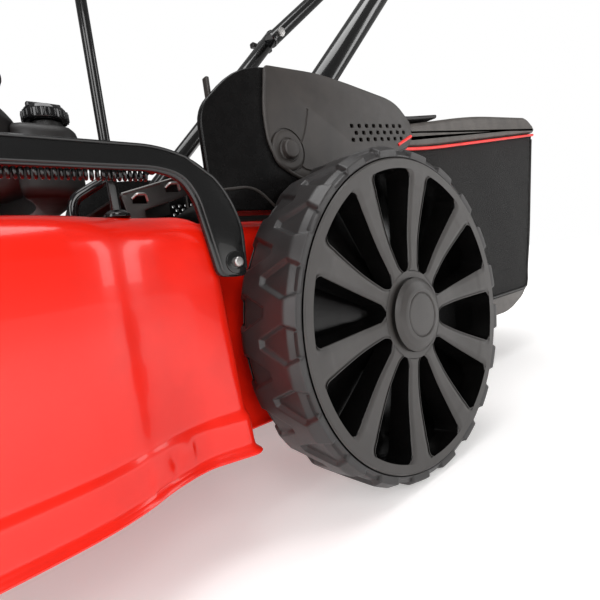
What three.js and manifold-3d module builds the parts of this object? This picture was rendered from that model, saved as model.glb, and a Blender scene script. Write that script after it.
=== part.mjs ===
// Petrol push lawn mower with a pressed steel deck, four ten-slot wheels and a rear grass bag.
// Millimetres, +Z up. The front of the mower points to -Y and its left side to +X.
// The origin is on the ground, under the middle of the machine.
import * as THREE from "three";
import { mergeVertices } from "three/addons/utils/BufferGeometryUtils.js";
import Module from "manifold-3d";

const wasm = await Module();
wasm.setup();

// ---------- driving dimensions ----------
const GAP = 0.4; // clearance between touching pieces
const WHEEL_OUTER_X = 270; // outer face of every wheel
const TYRE_WIDTH = 66;
const REAR_RADIUS = 141;
const REAR_AXLE_Y = -50;
const FRONT_RADIUS = 100;
const FRONT_TYRE_WIDTH = 50;
const FRONT_AXLE_Y = -600;
const SLOTS = 10; // openings in a wheel disc
const WHEEL_TURN = THREE.MathUtils.degToRad(-10.7); // where the first slot stands at rest
const STUB_RADIUS = 8;

const BLADE_Y = -385; // blade and crankshaft axis
const DECK_RADIUS = 246; // round blade housing, outside
const DECK_REAR_X = 186; // half width between the rear wheels
const WELL_FRONT_Y = -198; // front wall of the rear wheel's recess
const SKIRT_FLARE = 9; // spread of the skirt's foot just ahead of the rear wheel
const FLARE_TOP = 190;
const DECK_REAR_Y = 6;
const DECK_BOTTOM = 72;
const DECK_TOP = 240;
const DECK_SKIN = 3;
const SHOULDER = 25;
const HEM = 3;
const DECK_TOP_UP = DECK_TOP + GAP;

const REAR_PIVOT = { y: 20, z: 118 }; // cross shaft that the rear wheels swing on
const FRONT_PIVOT = { y: -652, z: 112 };
const SHAFT_RADIUS = 7;
const CRANK_X = 189; // inner face of the rear crank arms
const FRONT_CRANK_X = 209;
const CRANK_THICK = 6;

const HANDLE_X = 224; // inner face of the side handle
const HANDLE_THICK = 10;
const HANDLE_TOP = 277;
const HANDLE_BAR = 14;
const HANDLE_PIVOT = { y: -200, z: 203 };
const HANDLE_FRONT_Y = -505;
const LATCH_Z = 219; // latch pin at the front end of the side handle
const HANDLE_STEP = 2; // degrees between two height notches

const CHEEK_X = 193.5; // inner face of the rear housing cheeks
const CHEEK_THICK = 6;
const FOLD_PIVOT = { y: -111, z: 292 }; // lower handlebar on the rear housing
const JOIN = { y: 215, z: 630 }; // upper handlebar on the lower one
const TUBE_RADIUS = 12.5;
const TUBE_WALL = 1.8;
const LOWER_TUBE_X = 180;
const UPPER_TUBE_X = 154;
const UPPER_LENGTH = 611;
const UPPER_ANGLE = THREE.MathUtils.degToRad(40);
const BAIL_ALONG = 481; // bail pivot, measured along the upper handlebar
const BAIL_REACH = 104;
const BAIL_OPEN = THREE.MathUtils.degToRad(35);
const BAIL_RADIUS = 4;

const MOUTH_Y = 36; // rear end of the discharge tunnel
const TUNNEL_X = 136;
const BAG_X = 160;
const BAG_SKIN = 3;
const FLAP_ROD = { y: 26, z: 353 };

// ---------- materials ----------
const coat = (color, roughness, metalness) =>
  new THREE.MeshStandardMaterial({ color, roughness, metalness });
const RED_PAINT = coat(0xe3211c, 0.25, 0.1);
const BLACK_PAINT = coat(0x0c0c0d, 0.25, 0.2);
const BLACK_PLASTIC = coat(0x242220, 0.55, 0);
const GLOSS_PLASTIC = coat(0x0d0d0e, 0.2, 0);
const GREY_PLASTIC = coat(0x3b3734, 0.55, 0);
const RUBBER = coat(0x2b2a2a, 0.8, 0);
const FABRIC = coat(0x161616, 0.95, 0);
const GREY_STEEL = coat(0x6d6a66, 0.4, 0.8);
const ALUMINIUM = coat(0x9b9c9d, 0.45, 0.9);
const FOAM = coat(0x1a1a1a, 0.95, 0);

// ---------- solids ----------
// A closed geometry as a solid, turned the right way out.
function solidOf(geometry) {
  const bare = geometry.index ? geometry.toNonIndexed() : geometry.clone();
  bare.deleteAttribute("normal");
  bare.deleteAttribute("uv");
  const merged = mergeVertices(bare, 1e-3);
  const index = merged.index.array;
  const kept = [];
  for (let i = 0; i < index.length; i += 3) {
    const [a, b, c] = [index[i], index[i + 1], index[i + 2]];
    if (a !== b && b !== c && c !== a) kept.push(a, b, c);
  }
  const build = (triVerts) =>
    new wasm.Manifold(
      new wasm.Mesh({
        numProp: 3,
        vertProperties: new Float32Array(merged.attributes.position.array),
        triVerts: new Uint32Array(triVerts),
      }),
    );
  const made = build(kept);
  if (made.volume() > 0) return made;
  for (let i = 0; i < kept.length; i += 3) {
    [kept[i + 1], kept[i + 2]] = [kept[i + 2], kept[i + 1]];
  }
  return build(kept);
}

function geometryOf(solid) {
  const mesh = solid.getMesh();
  const geometry = new THREE.BufferGeometry();
  const position = new Float32Array(mesh.vertProperties);
  geometry.setAttribute("position", new THREE.BufferAttribute(position, 3));
  geometry.setIndex(new THREE.BufferAttribute(new Uint32Array(mesh.triVerts), 1));
  geometry.computeVertexNormals();
  return geometry;
}

const join = (...solids) => solids.reduce((a, b) => a.add(b));
const cut = (solid, ...tools) => tools.reduce((a, b) => a.subtract(b), solid);

function box(x0, x1, y0, y1, z0, z1) {
  const geometry = new THREE.BoxGeometry(x1 - x0, y1 - y0, z1 - z0);
  geometry.translate((x0 + x1) / 2, (y0 + y1) / 2, (z0 + z1) / 2);
  return solidOf(geometry);
}

// A round bar from point a to point b.
function rod(a, b, radius, sides = 12, endRadius = radius) {
  const from = new THREE.Vector3(...a);
  const along = new THREE.Vector3(...b).sub(from);
  const geometry = new THREE.CylinderGeometry(endRadius, radius, along.length(), sides);
  geometry.translate(0, along.length() / 2, 0);
  const turn = new THREE.Quaternion();
  turn.setFromUnitVectors(new THREE.Vector3(0, 1, 0), along.clone().normalize());
  geometry.applyQuaternion(turn);
  geometry.translate(from.x, from.y, from.z);
  return solidOf(geometry);
}

// A profile of [radius, height] pairs turned round a vertical axis at x, y.
function turnedZ(profile, x, y, sides) {
  const points = profile.map(([r, h]) => new THREE.Vector2(r, h));
  const geometry = new THREE.LatheGeometry(points, sides);
  geometry.rotateX(Math.PI / 2);
  geometry.translate(x, y, 0);
  return solidOf(geometry);
}

// The same round an axis along X through y, z; heights are measured outwards from x on the given side.
function turnedX(profile, x, y, z, sides, side = 1) {
  const points = profile.map(([r, h]) => new THREE.Vector2(r, h));
  const geometry = new THREE.LatheGeometry(points, sides);
  geometry.rotateZ(-Math.PI / 2);
  geometry.scale(side, 1, 1);
  geometry.translate(side * x, y, z);
  return solidOf(geometry);
}

function shapeOf(points) {
  return new THREE.Shape(points.map(([u, v]) => new THREE.Vector2(u, v)));
}

// A polygon with its corners rounded to one radius.
function roundedShape(points, radius, steps = 3) {
  const shape = new THREE.Shape();
  const corner = points.map(([u, v]) => new THREE.Vector2(u, v));
  corner.forEach((here, i) => {
    const before = corner[(i + corner.length - 1) % corner.length];
    const after = corner[(i + 1) % corner.length];
    const enter = before.clone().sub(here).setLength(radius).add(here);
    const leave = after.clone().sub(here).setLength(radius).add(here);
    const bend = new THREE.QuadraticBezierCurve(enter, here, leave);
    for (const p of bend.getPoints(steps)) {
      if (shape.curves.length === 0 && i === 0 && p.equals(enter)) shape.moveTo(p.x, p.y);
      else shape.lineTo(p.x, p.y);
    }
  });
  shape.closePath();
  return shape;
}

function extruded(shape, depth, bevel = 0) {
  return new THREE.ExtrudeGeometry(shape, {
    depth: depth - 2 * bevel,
    bevelEnabled: bevel > 0,
    bevelThickness: bevel,
    bevelSize: bevel,
    bevelOffset: -bevel,
    bevelSegments: 1,
    curveSegments: 6,
  }).translate(0, 0, bevel);
}

const CYCLE = new THREE.Matrix4().set(0, 0, 1, 0, 1, 0, 0, 0, 0, 1, 0, 0, 0, 0, 0, 1);

// A shape drawn in (y, z), extruded along X from x0 to x1.
function plateX(shape, x0, x1, bevel = 0) {
  const geometry = extruded(shape, x1 - x0, bevel);
  geometry.applyMatrix4(CYCLE);
  geometry.translate(x0, 0, 0);
  return solidOf(geometry);
}

// A shape drawn in (x, y), extruded upwards from z0 to z1.
function plateZ(shape, z0, z1, bevel = 0) {
  const geometry = extruded(shape, z1 - z0, bevel);
  geometry.translate(0, 0, z0);
  return solidOf(geometry);
}

function ringShape(radius, wall, sides) {
  const circle = (r) =>
    Array.from({ length: sides }, (_, i) => {
      const a = (2 * Math.PI * i) / sides;
      return new THREE.Vector2(r * Math.cos(a), r * Math.sin(a));
    });
  const shape = new THREE.Shape(circle(radius));
  if (wall > 0) shape.holes.push(new THREE.Path(circle(radius - wall).reverse()));
  return shape;
}

// Straight runs between the points, with each corner bent to the given length.
function bentPath(points, bend) {
  const path = new THREE.CurvePath();
  const at = points.map((p) => new THREE.Vector3(...p));
  let last = at[0];
  for (let i = 1; i < at.length - 1; i += 1) {
    const enter = at[i - 1].clone().sub(at[i]).setLength(bend).add(at[i]);
    const leave = at[i + 1].clone().sub(at[i]).setLength(bend).add(at[i]);
    path.add(new THREE.LineCurve3(last, enter));
    path.add(new THREE.QuadraticBezierCurve3(enter, at[i], leave));
    last = leave;
  }
  path.add(new THREE.LineCurve3(last, at[at.length - 1]));
  return path;
}

function tube(points, bend, radius, sides, steps, wall = 0) {
  const geometry = new THREE.ExtrudeGeometry(ringShape(radius, wall, sides), {
    steps,
    extrudePath: bentPath(points, bend),
    bevelEnabled: false,
  });
  return solidOf(geometry);
}

// ---------- deck ----------
// The plan outline, anticlockwise, moved inwards by inset.
function deckOutline(inset, z) {
  const flare = SKIRT_FLARE * Math.min(1, (FLARE_TOP - Math.min(z, FLARE_TOP)) / (FLARE_TOP - DECK_BOTTOM));
  const side = [
    [DECK_REAR_X, DECK_REAR_Y], [DECK_REAR_X, WELL_FRONT_Y], [221 + flare, WELL_FRONT_Y - 5],
    [221, -234], [222, -246], [227, -266], [236, -284], [240.5, -300],
  ].map((p) => new THREE.Vector2(...p));
  const bow = [[240.5, -300], [243.5, -312], [DECK_RADIUS, -345], [DECK_RADIUS, BLADE_Y]];
  const bend = new THREE.CubicBezierCurve(...bow.map((p) => new THREE.Vector2(...p)));
  side.push(...bend.getPoints(5).slice(1));
  const steps = 10;
  for (let i = 1; i <= steps; i += 1) {
    const a = (Math.PI / 2) * (i / steps);
    side.push(new THREE.Vector2(DECK_RADIUS * Math.cos(a), BLADE_Y - DECK_RADIUS * Math.sin(a)));
  }
  const other = side.slice(0, -1).map((p) => new THREE.Vector2(-p.x, p.y)).reverse();
  const loop = [...side, ...other].reverse();
  return loop.map((p, i) => {
    const before = loop[(i + loop.length - 1) % loop.length];
    const after = loop[(i + 1) % loop.length];
    const d0 = p.clone().sub(before).normalize();
    const d1 = after.clone().sub(p).normalize();
    const n0 = new THREE.Vector2(-d0.y, d0.x);
    const n1 = new THREE.Vector2(-d1.y, d1.x);
    const mitre = n0.clone().add(n1).normalize();
    return p.clone().addScaledVector(mitre, inset / Math.max(mitre.dot(n0), 0.5));
  });
}

// A solid through stacked copies of the outline; each level is [height, inset].
function deckLoft(levels) {
  const rings = levels.map(([z, inset]) => deckOutline(inset, z));
  const at = (k, i) => [rings[k][i].x, rings[k][i].y, levels[k][0]];
  const count = rings[0].length;
  const last = rings.length - 1;
  const triangles = [];
  for (let k = 0; k < last; k += 1) {
    for (let i = 0; i < count; i += 1) {
      const j = (i + 1) % count;
      const [a, b, c, d] = [at(k, i), at(k, j), at(k + 1, j), at(k + 1, i)];
      triangles.push(a, b, c, a, c, d);
    }
  }
  for (const [a, b, c] of THREE.ShapeUtils.triangulateShape(rings[0], [])) {
    triangles.push(at(0, a), at(0, c), at(0, b));
  }
  for (const [a, b, c] of THREE.ShapeUtils.triangulateShape(rings[last], [])) {
    triangles.push(at(last, a), at(last, b), at(last, c));
  }
  const geometry = new THREE.BufferGeometry();
  geometry.setAttribute("position", new THREE.Float32BufferAttribute(triangles.flat(), 3));
  return solidOf(geometry);
}

function shoulder(radius, inset) {
  const steps = 4;
  return Array.from({ length: steps + 1 }, (_, i) => {
    const a = (Math.PI / 2) * (i / steps);
    const z = DECK_TOP - SHOULDER + radius * Math.sin(a);
    return [z, inset + radius * (1 - Math.cos(a))];
  });
}

function makeDeck() {
  const hemTop = DECK_BOTTOM + DECK_SKIN;
  const outer = deckLoft([
    [DECK_BOTTOM, -HEM],
    [hemTop, -HEM],
    [hemTop + 0.5, 0],
    ...shoulder(SHOULDER, 0),
  ]);
  const inner = deckLoft([
    [DECK_BOTTOM - 5, DECK_SKIN],
    ...shoulder(SHOULDER - DECK_SKIN, DECK_SKIN),
  ]);
  const shaftHole = rod([0, BLADE_Y, 200], [0, BLADE_Y, 260], 30, 20);
  const throat = box(-140, 140, -150, 20, 100, 260);
  return cut(outer, inner, shaftHole, throat);
}

function makeFrontTrim() {
  const outline = roundedShape([[-188, -670], [188, -670], [188, -596], [-188, -596]], 24);
  const block = plateZ(outline, 132, 236, 4);
  const deckRoom = rod([0, BLADE_Y, 120], [0, BLADE_Y, 250], DECK_RADIUS + 1.5, 56);
  const lugs = [-1, 1].map((s) =>
    box(Math.min(s * 150, s * 170), Math.max(s * 150, s * 170), -668, -637, 98, 140));
  const bore = rod([-200, FRONT_PIVOT.y, FRONT_PIVOT.z], [200, FRONT_PIVOT.y, FRONT_PIVOT.z],
    SHAFT_RADIUS + GAP, 12);
  const grip = box(-70, 70, -660, -634, 120, 222);
  return cut(join(block, ...lugs), deckRoom, bore, grip);
}

// ---------- rear housing ----------
function makeTunnel() {
  const outside = shapeOf([[-145, 228], [-145, 246], [22, 336], [MOUTH_Y, 336],
    [MOUTH_Y, 134], [-4, 134], [-92, 82]]);
  const inside = shapeOf([[-190, 150], [-142, 243], [21, 332.5], [MOUTH_Y + 5, 332.5],
    [MOUTH_Y + 5, 137], [-3, 137], [-92, 85.5], [-150, 60]]);
  const flange = box(-152, 152, -158, -4, DECK_TOP_UP, DECK_TOP_UP + 3);
  const body = join(plateX(outside, -TUNNEL_X, TUNNEL_X), flange);
  const clear = box(-TUNNEL_X + 3, TUNNEL_X - 3, -142, -3, 230, 250);
  return cut(body, plateX(inside, -TUNNEL_X + 3, TUNNEL_X - 3), clear);
}

// Folded sheet that bridges the tunnel and carries slots in its side flanges.
function makeTunnelCover() {
  const top = shapeOf([[-233, 267], [-60, 317], [-60, 319], [-233, 269]]);
  const flange = shapeOf([[-233, 269], [-60, 319], [-60, 300], [-166, 271], [-216, 256],
    [-216, DECK_TOP_UP], [-230, DECK_TOP_UP], [-230, 254]]);
  const slots = [[-219, 264], [-190, 273], [-161, 281], [-132, 290]].map(([y, z]) =>
    box(-160, 160, y - 6, y + 6, z - 3, z + 3));
  const sides = [-1, 1].map((s) => plateX(flange, Math.min(s * 138, s * 140), Math.max(s * 138, s * 140)));
  const feet = [-1, 1].map((s) =>
    box(Math.min(s * 138, s * 150), Math.max(s * 138, s * 150), -230, -216, DECK_TOP_UP, DECK_TOP_UP + 2));
  return join(plateX(top, -140, 140), ...sides.map((side) => cut(side, ...slots)), ...feet);
}

function makeCheek(side) {
  const outline = roundedShape([[-190, 243], [-190, 318], [-150, 356], [-60, 366], [50, 356],
    [77, 334], [73, 309], [20, 292], [-20, 243]], 9);
  const [inner, outer] = [side * CHEEK_X, side * (CHEEK_X + CHEEK_THICK)];
  const plate = plateX(outline, Math.min(inner, outer), Math.max(inner, outer), 1.5);
  const bore = rod([side * 180, FOLD_PIVOT.y, FOLD_PIVOT.z], [side * 220, FOLD_PIVOT.y, FOLD_PIVOT.z], 5.4, 12);
  const fixing = join(
    box(Math.min(side * 175, inner), Math.max(side * 175, inner + side), -170, -24, 243, 247),
    box(Math.min(side * 162, inner), Math.max(side * 162, inner + side), 22, 30, 335, 349.2),
  );
  return cut(join(plate, fixing), bore);
}

// Shoulder bolt of the lower handlebar, with its wide washer and cap outside the cheek.
function makeFoldBolt(side) {
  const face = CHEEK_X + CHEEK_THICK + GAP;
  const shank = rod([side * 168, FOLD_PIVOT.y, FOLD_PIVOT.z], [side * (face + 1), FOLD_PIVOT.y, FOLD_PIVOT.z], 5, 12);
  const washer = rod([side * face, FOLD_PIVOT.y, FOLD_PIVOT.z], [side * (face + 3), FOLD_PIVOT.y, FOLD_PIVOT.z], 17, 24, 15);
  const cap = rod([side * (face + 2), FOLD_PIVOT.y, FOLD_PIVOT.z], [side * (face + 8), FOLD_PIVOT.y, FOLD_PIVOT.z], 7.2, 16, 6);
  return join(shank, washer, cap);
}

// ---------- engine ----------
function makeCrankcase() {
  const profile = [[0, DECK_TOP_UP], [98, DECK_TOP_UP], [98, 247], [88, 251], [88, 292], [70, 300], [0, 300]];
  const body = turnedZ(profile, 0, BLADE_Y, 28);
  const bore = rod([0, BLADE_Y, 230], [0, BLADE_Y, 290], 13, 16);
  return cut(body, bore);
}

function makeCylinder() {
  const core = box(-34, 34, -540, -474, 252, 296);
  const fins = [0, 1, 2, 3, 4, 5, 6].map((i) => box(-44, 44, -540 + 9.4 * i, -536 + 9.4 * i, 252, 300));
  return join(core, ...fins);
}

function makeShroud() {
  return turnedZ([[60, 300.4], [118, 300.4], [118, 345], [111, 358], [84, 364], [82.5, 364],
    [82.5, 359], [108, 353], [113, 343], [113, 303.4], [60, 303.4], [60, 300.4]], 0, BLADE_Y, 32);
}

function makeStarterCover() {
  const dome = turnedZ([[0, 392], [40, 391], [66, 384], [76, 366], [76, 362], [81.5, 362], [81.5, 372],
    [74, 388], [46, 397], [0, 399]], 0, BLADE_Y, 24);
  const slots = [];
  for (let i = 0; i < 8; i += 1) {
    const a = (2 * Math.PI * i) / 8 + 0.39;
    slots.push(rod([34 * Math.cos(a), BLADE_Y + 34 * Math.sin(a), 380],
      [34 * Math.cos(a), BLADE_Y + 34 * Math.sin(a), 405], 5, 6));
  }
  const socket = rod([0, -318, 368], [0, -301, 382], 13, 14);
  const skirt = turnedZ([[0, 350], [82, 350], [82, 361.6], [0, 361.6]], 0, BLADE_Y, 24);
  return cut(join(cut(dome, ...slots), cut(socket, skirt)), rod([0, -312, 373], [0, -295, 387], 5, 10));
}

function makeFuelTank() {
  const tank = plateZ(roundedShape([[-72, -290], [72, -290], [72, -232], [-72, -232]], 20), 282, 344, 6);
  const room = rod([0, BLADE_Y, 270], [0, BLADE_Y, 350], 119, 40);
  const neck = rod([42, -252, 338], [42, -252, 352], 13, 16);
  return join(cut(tank, room), neck);
}

function makeFuelCap() {
  const cap = turnedZ([[0, 352.4], [18, 352.4], [18, 362], [14, 366], [0, 366]], 42, -252, 20);
  return join(cap, box(39, 45, -266, -238, 364, 370));
}

function makeMuffler() {
  const can = plateZ(roundedShape([[54, -545], [116, -545], [116, -468], [54, -468]], 18), 256, 296, 6);
  const pipe = rod([46, -508, 274], [58, -508, 274], 9, 12);
  return join(can, pipe);
}

function makeMufflerGuard() {
  const outer = roundedShape([[49, -552], [124, -552], [124, -460], [49, -460]], 20);
  const inner = roundedShape([[51, -550], [122, -550], [122, -462], [51, -462]], 18);
  const wall = cut(plateZ(outer, 262, 300), plateZ(inner, 255, 298));
  const slots = [];
  for (let i = 0; i < 5; i += 1) {
    slots.push(box(110, 130, -536 + 15 * i, -529 + 15 * i, 268, 292));
  }
  const open = box(40, 60, -560, -450, 250, 295);
  return cut(wall, open, ...slots);
}

function makeAirFilter() {
  return plateZ(roundedShape([[-136, -535], [-72, -535], [-72, -440], [-136, -440]], 16), 252, 299, 7);
}

function makeCarburettor() {
  const body = box(-69, -50, -516, -486, 266, 290);
  return join(body, rod([-71, -501, 278], [-45, -501, 278], 10, 12));
}

function makeSparkPlug() {
  const boot = rod([0, -541, 272], [0, -566, 272], 9, 12, 8);
  return join(boot, rod([0, -558, 268], [0, -558, 294], 6, 10));
}

function makeOilFiller() {
  const neck = rod([-74, -307, 262], [-96, -266, 322], 9, 12);
  const cap = rod([-96, -266, 322], [-101, -257, 336], 14, 16, 12);
  return join(neck, cap);
}

// Bent black pipe beside the tank.
function makeBreatherPipe() {
  const route = [[128, -266, DECK_TOP_UP], [128, -266, 266], [132, -242, 280], [132, -226, 290]];
  return tube(route, 8, 4, 8, 16);
}

// ---------- blade ----------
function makeCrankshaft() {
  const shaft = rod([0, BLADE_Y, 84.4], [0, BLADE_Y, 288], 12, 16);
  const hub = rod([0, BLADE_Y, 84.4], [0, BLADE_Y, 104], 24, 16);
  return cut(join(shaft, hub), rod([0, BLADE_Y, 70], [0, BLADE_Y, 100], 5.4, 12));
}

function makeBlade() {
  const outline = shapeOf([[-230, -28], [-225, -28], [225, -24], [230, -24], [230, 24], [150, 24],
    [120, 28], [-150, 28], [-230, 20]].map(([x, y]) => [x, y + BLADE_Y]));
  const lift = (s) => rod([s * 150, BLADE_Y + s * 22, 84], [s * 226, BLADE_Y + s * 22, 90], 6, 6);
  return cut(join(plateZ(outline, 80, 84), lift(1), lift(-1)),
    rod([0, BLADE_Y, 70], [0, BLADE_Y, 95], 5.4, 12));
}

function makeBladeBolt() {
  return join(rod([0, BLADE_Y, 72], [0, BLADE_Y, 79.6], 12, 6), rod([0, BLADE_Y, 79], [0, BLADE_Y, 99], 5, 12));
}

// ---------- wheels ----------
function makeTyre(radius, width, y, side, sides) {
  const bead = radius * 0.922;
  const edge = bead + 6;
  const profile = [[bead, -2], [edge, -0.5], [radius, -9], [radius, -width + 8], [edge, -width + 0.5],
    [bead, -width + 2], [bead, -2]];
  return turnedX(profile, WHEEL_OUTER_X, y, radius, sides, side);
}

// Dished face with tapering slots, a barrel that carries the tyre and a hub tube.
function makeDisc(radius, width, y, side, sides) {
  const rim = radius * 0.922 - GAP;
  const hub = 22;
  const bore = STUB_RADIUS + GAP;
  const profile = [[bore, -width + 6], [hub, -width + 6], [hub, -20], [rim - 6, -14], [rim - 6, -width + 8],
    [rim, -width + 8], [rim, 0], [rim - 8, 0], [hub + 12, -7], [hub + 9, -4], [bore, -4], [bore, -width + 6]];
  const disc = turnedX(profile, WHEEL_OUTER_X, y, radius, sides, side);
  const [inner, outer] = [hub + 15, rim - 7];
  const half = (Math.PI / SLOTS) * 0.7;
  const edge = [[inner, -3], [inner * 1.7, -inner * 0.4],
    [(outer - 4) * Math.cos(half), -(outer - 4) * Math.sin(half)],
    [outer * Math.cos(half * 0.8), -outer * Math.sin(half * 0.8)]];
  const slot = shapeOf([...edge, ...edge.map(([u, v]) => [u, -v]).reverse()]);
  const tools = [];
  for (let i = 0; i < SLOTS; i += 1) {
    const geometry = extruded(slot, 24);
    geometry.translate(0, 0, -22);
    geometry.rotateZ(WHEEL_TURN + (2 * Math.PI * i) / SLOTS);
    geometry.applyMatrix4(CYCLE);
    geometry.scale(side, 1, 1);
    geometry.translate(side * WHEEL_OUTER_X, y, radius);
    tools.push(solidOf(geometry));
  }
  return cut(disc, ...tools);
}

function makeHubCap(radius, y, side) {
  const profile = [[0, -4 + GAP], [30, -4 + GAP], [30, -1], [26, 1], [20, 1.6], [19, 0.8], [0, 0.8]];
  return turnedX(profile, WHEEL_OUTER_X, y, radius, 28, side);
}

// Cross shaft, two arms and two stub axles in one forging.
function makeCrank(pivot, y, z, armX, stubRadius) {
  const outer = armX + CRANK_THICK;
  const shaft = rod([-outer, pivot.y, pivot.z], [outer, pivot.y, pivot.z], SHAFT_RADIUS, 12);
  const pieces = [shaft];
  for (const side of [-1, 1]) {
    const [a, b] = [Math.min(side * armX, side * outer), Math.max(side * armX, side * outer)];
    const along = new THREE.Vector2(y - pivot.y, z - pivot.z);
    const across = new THREE.Vector2(-along.y, along.x).setLength(14);
    const corner = (u, v) => [pivot.y + u * along.x + v * across.x, pivot.z + u * along.y + v * across.y];
    const arm = shapeOf([corner(-0.15, 0.8), corner(-0.15, -0.8), corner(1.1, -1), corner(1.1, 1)]);
    pieces.push(plateX(arm, a, b));
    pieces.push(rod([side * armX, y, z], [side * (WHEEL_OUTER_X - 8), y, z], stubRadius, 12));
  }
  return join(...pieces);
}

function makeBush(side) {
  const [a, b] = [Math.min(side * 150, side * 172), Math.max(side * 150, side * 172)];
  const block = box(a, b, DECK_REAR_Y + GAP, 36, 102, 131);
  const bore = rod([-200, REAR_PIVOT.y, REAR_PIVOT.z], [200, REAR_PIVOT.y, REAR_PIVOT.z], SHAFT_RADIUS + GAP, 12);
  return cut(block, bore);
}

// ---------- height adjustment ----------
// Pressed side handle: two legs and a long bar over the edge of the deck.
function makeSideHandle() {
  const [rear, front] = [HANDLE_PIVOT.y, HANDLE_FRONT_Y];
  const low = HANDLE_TOP - HANDLE_BAR;
  const outer = [[rear + 8, 193], [rear + 10, 228], [rear + 4, 243], [rear - 5, 256], [rear - 18, 268],
    [rear - 42, HANDLE_TOP], [front + 42, HANDLE_TOP], [front + 12, 252], [front - 8, 214], [front + 8, 212],
    [front + 26, 246], [front + 50, low], [rear - 44, low], [rear - 27, 259], [rear - 20, 248],
    [rear - 16, 230], [rear - 10, 195]];
  const bar = plateX(roundedShape(outer, 4, 2), HANDLE_X, HANDLE_X + HANDLE_THICK, 1.5);
  const pin = rod([HANDLE_X - 2, rear, HANDLE_PIVOT.z], [HANDLE_X + 14, rear, HANDLE_PIVOT.z], 5, 12);
  const head = rod([HANDLE_X + 9, rear, HANDLE_PIVOT.z], [HANDLE_X + 16, rear, HANDLE_PIVOT.z], 8, 6);
  const latch = rod([HANDLE_X + 8, front, LATCH_Z], [HANDLE_X + 20, front, LATCH_Z], 3.5, 10);
  const pegs = [-240, -472].map((y) => rod([HANDLE_X - 9, y, 266], [HANDLE_X + 2, y, 266], 2.5, 8));
  return join(bar, pin, head, latch, ...pegs);
}

function makeSpring() {
  return rod([218.5, -243, 263], [218.5, -469, 263], 4.3, 10);
}

// Notched plate that the front end of the side handle latches into.
function makeQuadrant() {
  const [x0, x1] = [HANDLE_X + HANDLE_THICK + 2, HANDLE_X + HANDLE_THICK + 5];
  const plate = plateX(shapeOf([[-534, 214], [-500, 160], [-488, 160], [-488, 262], [-500, 276], [-534, 276]]), x0, x1);
  const radius = HANDLE_PIVOT.y - HANDLE_FRONT_Y;
  const rest = Math.atan2(LATCH_Z - HANDLE_PIVOT.z, radius);
  const at = (step) => {
    const a = rest + THREE.MathUtils.degToRad(HANDLE_STEP * step);
    return [HANDLE_PIVOT.y - radius * Math.cos(a), HANDLE_PIVOT.z + radius * Math.sin(a)];
  };
  const notches = [];
  for (let step = -1; step < 5; step += 1) {
    const [y, z] = at(step);
    notches.push(rod([x0 - 1, y, z], [x1 + 1, y, z], 4.4, 10));
  }
  const [low, high] = [at(-1)[1], at(4)[1]];
  const track = box(x0 - 1, x1 + 1, HANDLE_FRONT_Y - 4, HANDLE_FRONT_Y + 10, low, high);
  const arm = box(222.9, x1, -500, -490, 160, 172);
  return join(cut(plate, track, ...notches), arm);
}

function makeLatchRod() {
  return rod([200, -260, DECK_TOP_UP], [200, -260, 402], 3.4, 10);
}

function makeLatchKnob() {
  const ball = turnedZ([[3.4 + GAP, 394], [10, 396], [14, 405], [14, 414], [9, 422], [0, 424], [0, 402.5],
    [3.4 + GAP, 402.5], [3.4 + GAP, 394]], 200, -260, 20);
  return ball;
}

// ---------- bag and flap ----------
const BAG_SIDE = [[42, 104], [42, 318], [155, 326], [523, 378], [496, 290], [470, 200], [444, 134], [440, 106]];

function makeBagFabric() {
  const outer = plateX(roundedShape(BAG_SIDE, 10, 2), -BAG_X, BAG_X);
  const inside = shapeOf([[20, 107], [20, 420], [540, 420], [519.5, 376], [493, 291], [467, 201],
    [441, 135], [437, 107]]);
  const mouth = plateX(inside, -BAG_X + BAG_SKIN, BAG_X - BAG_SKIN);
  const top = plateX(shapeOf([[30, 317.4], [155, 325.4], [530, 378.6], [530, 430], [30, 430]]), -200, 200);
  return cut(outer, mouth, top);
}

function makeBagTray() {
  const outside = roundedShape([[44, 103.6], [441, 105.6], [425, 92], [370, 74], [150, 78], [60, 88]], 8, 2);
  const inside = shapeOf([[58, 120], [428, 120], [420, 96], [369, 77.5], [151, 81.5], [66, 92]]);
  return cut(plateX(outside, -BAG_X + 4, BAG_X - 4, 3), plateX(inside, -BAG_X + 8, BAG_X - 8));
}

function makeBagLid() {
  const outline = [[36, 317.8], [155, 325.8], [530, 379], [528, 392], [500, 404], [300, 384], [120, 352], [36, 338]];
  const shell = plateX(shapeOf(outline), -BAG_X - 2, BAG_X + 2, 4);
  const hollow = plateX(shapeOf([[30, 310], [155, 318], [524, 372], [520, 388], [498, 398], [300, 379],
    [120, 347], [42, 334], [30, 330]]), -BAG_X + 6, BAG_X - 6);
  return cut(shell, hollow);
}

// Wire mouth frame, with the two hooks that hang it on the machine.
function makeBagFrame() {
  const wire = (points, steps) => tube(points, 10, 3.5, 6, steps);
  const x = BAG_X - 9;
  const hoop = wire([[-x, 47, 308], [-x, 47, 114], [x, 47, 114], [x, 47, 308]], 28);
  const cross = rod([-x, 47, 306], [x, 47, 306], 3.5, 8);
  return join(hoop, cross);
}

function makeBagHandle() {
  const grip = tube([[-60, 250, 379.6], [-60, 250, 414], [60, 250, 414], [60, 250, 379.6]], 20, 7, 8, 16);
  return grip;
}

function makeFlap() {
  const shape = shapeOf([[19, 346], [19, 361], [40, 362], [120, 362], [206, 375], [206, 370], [120, 357], [40, 351], [36, 346]]);
  const plate = plateX(shape, -158, 158);
  const bore = rod([-170, FLAP_ROD.y, FLAP_ROD.z], [170, FLAP_ROD.y, FLAP_ROD.z], 3.5 + GAP, 12);
  return cut(plate, bore);
}

function makeFlapRod() {
  return rod([-173, FLAP_ROD.y, FLAP_ROD.z], [173, FLAP_ROD.y, FLAP_ROD.z], 3.5, 12);
}

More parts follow.
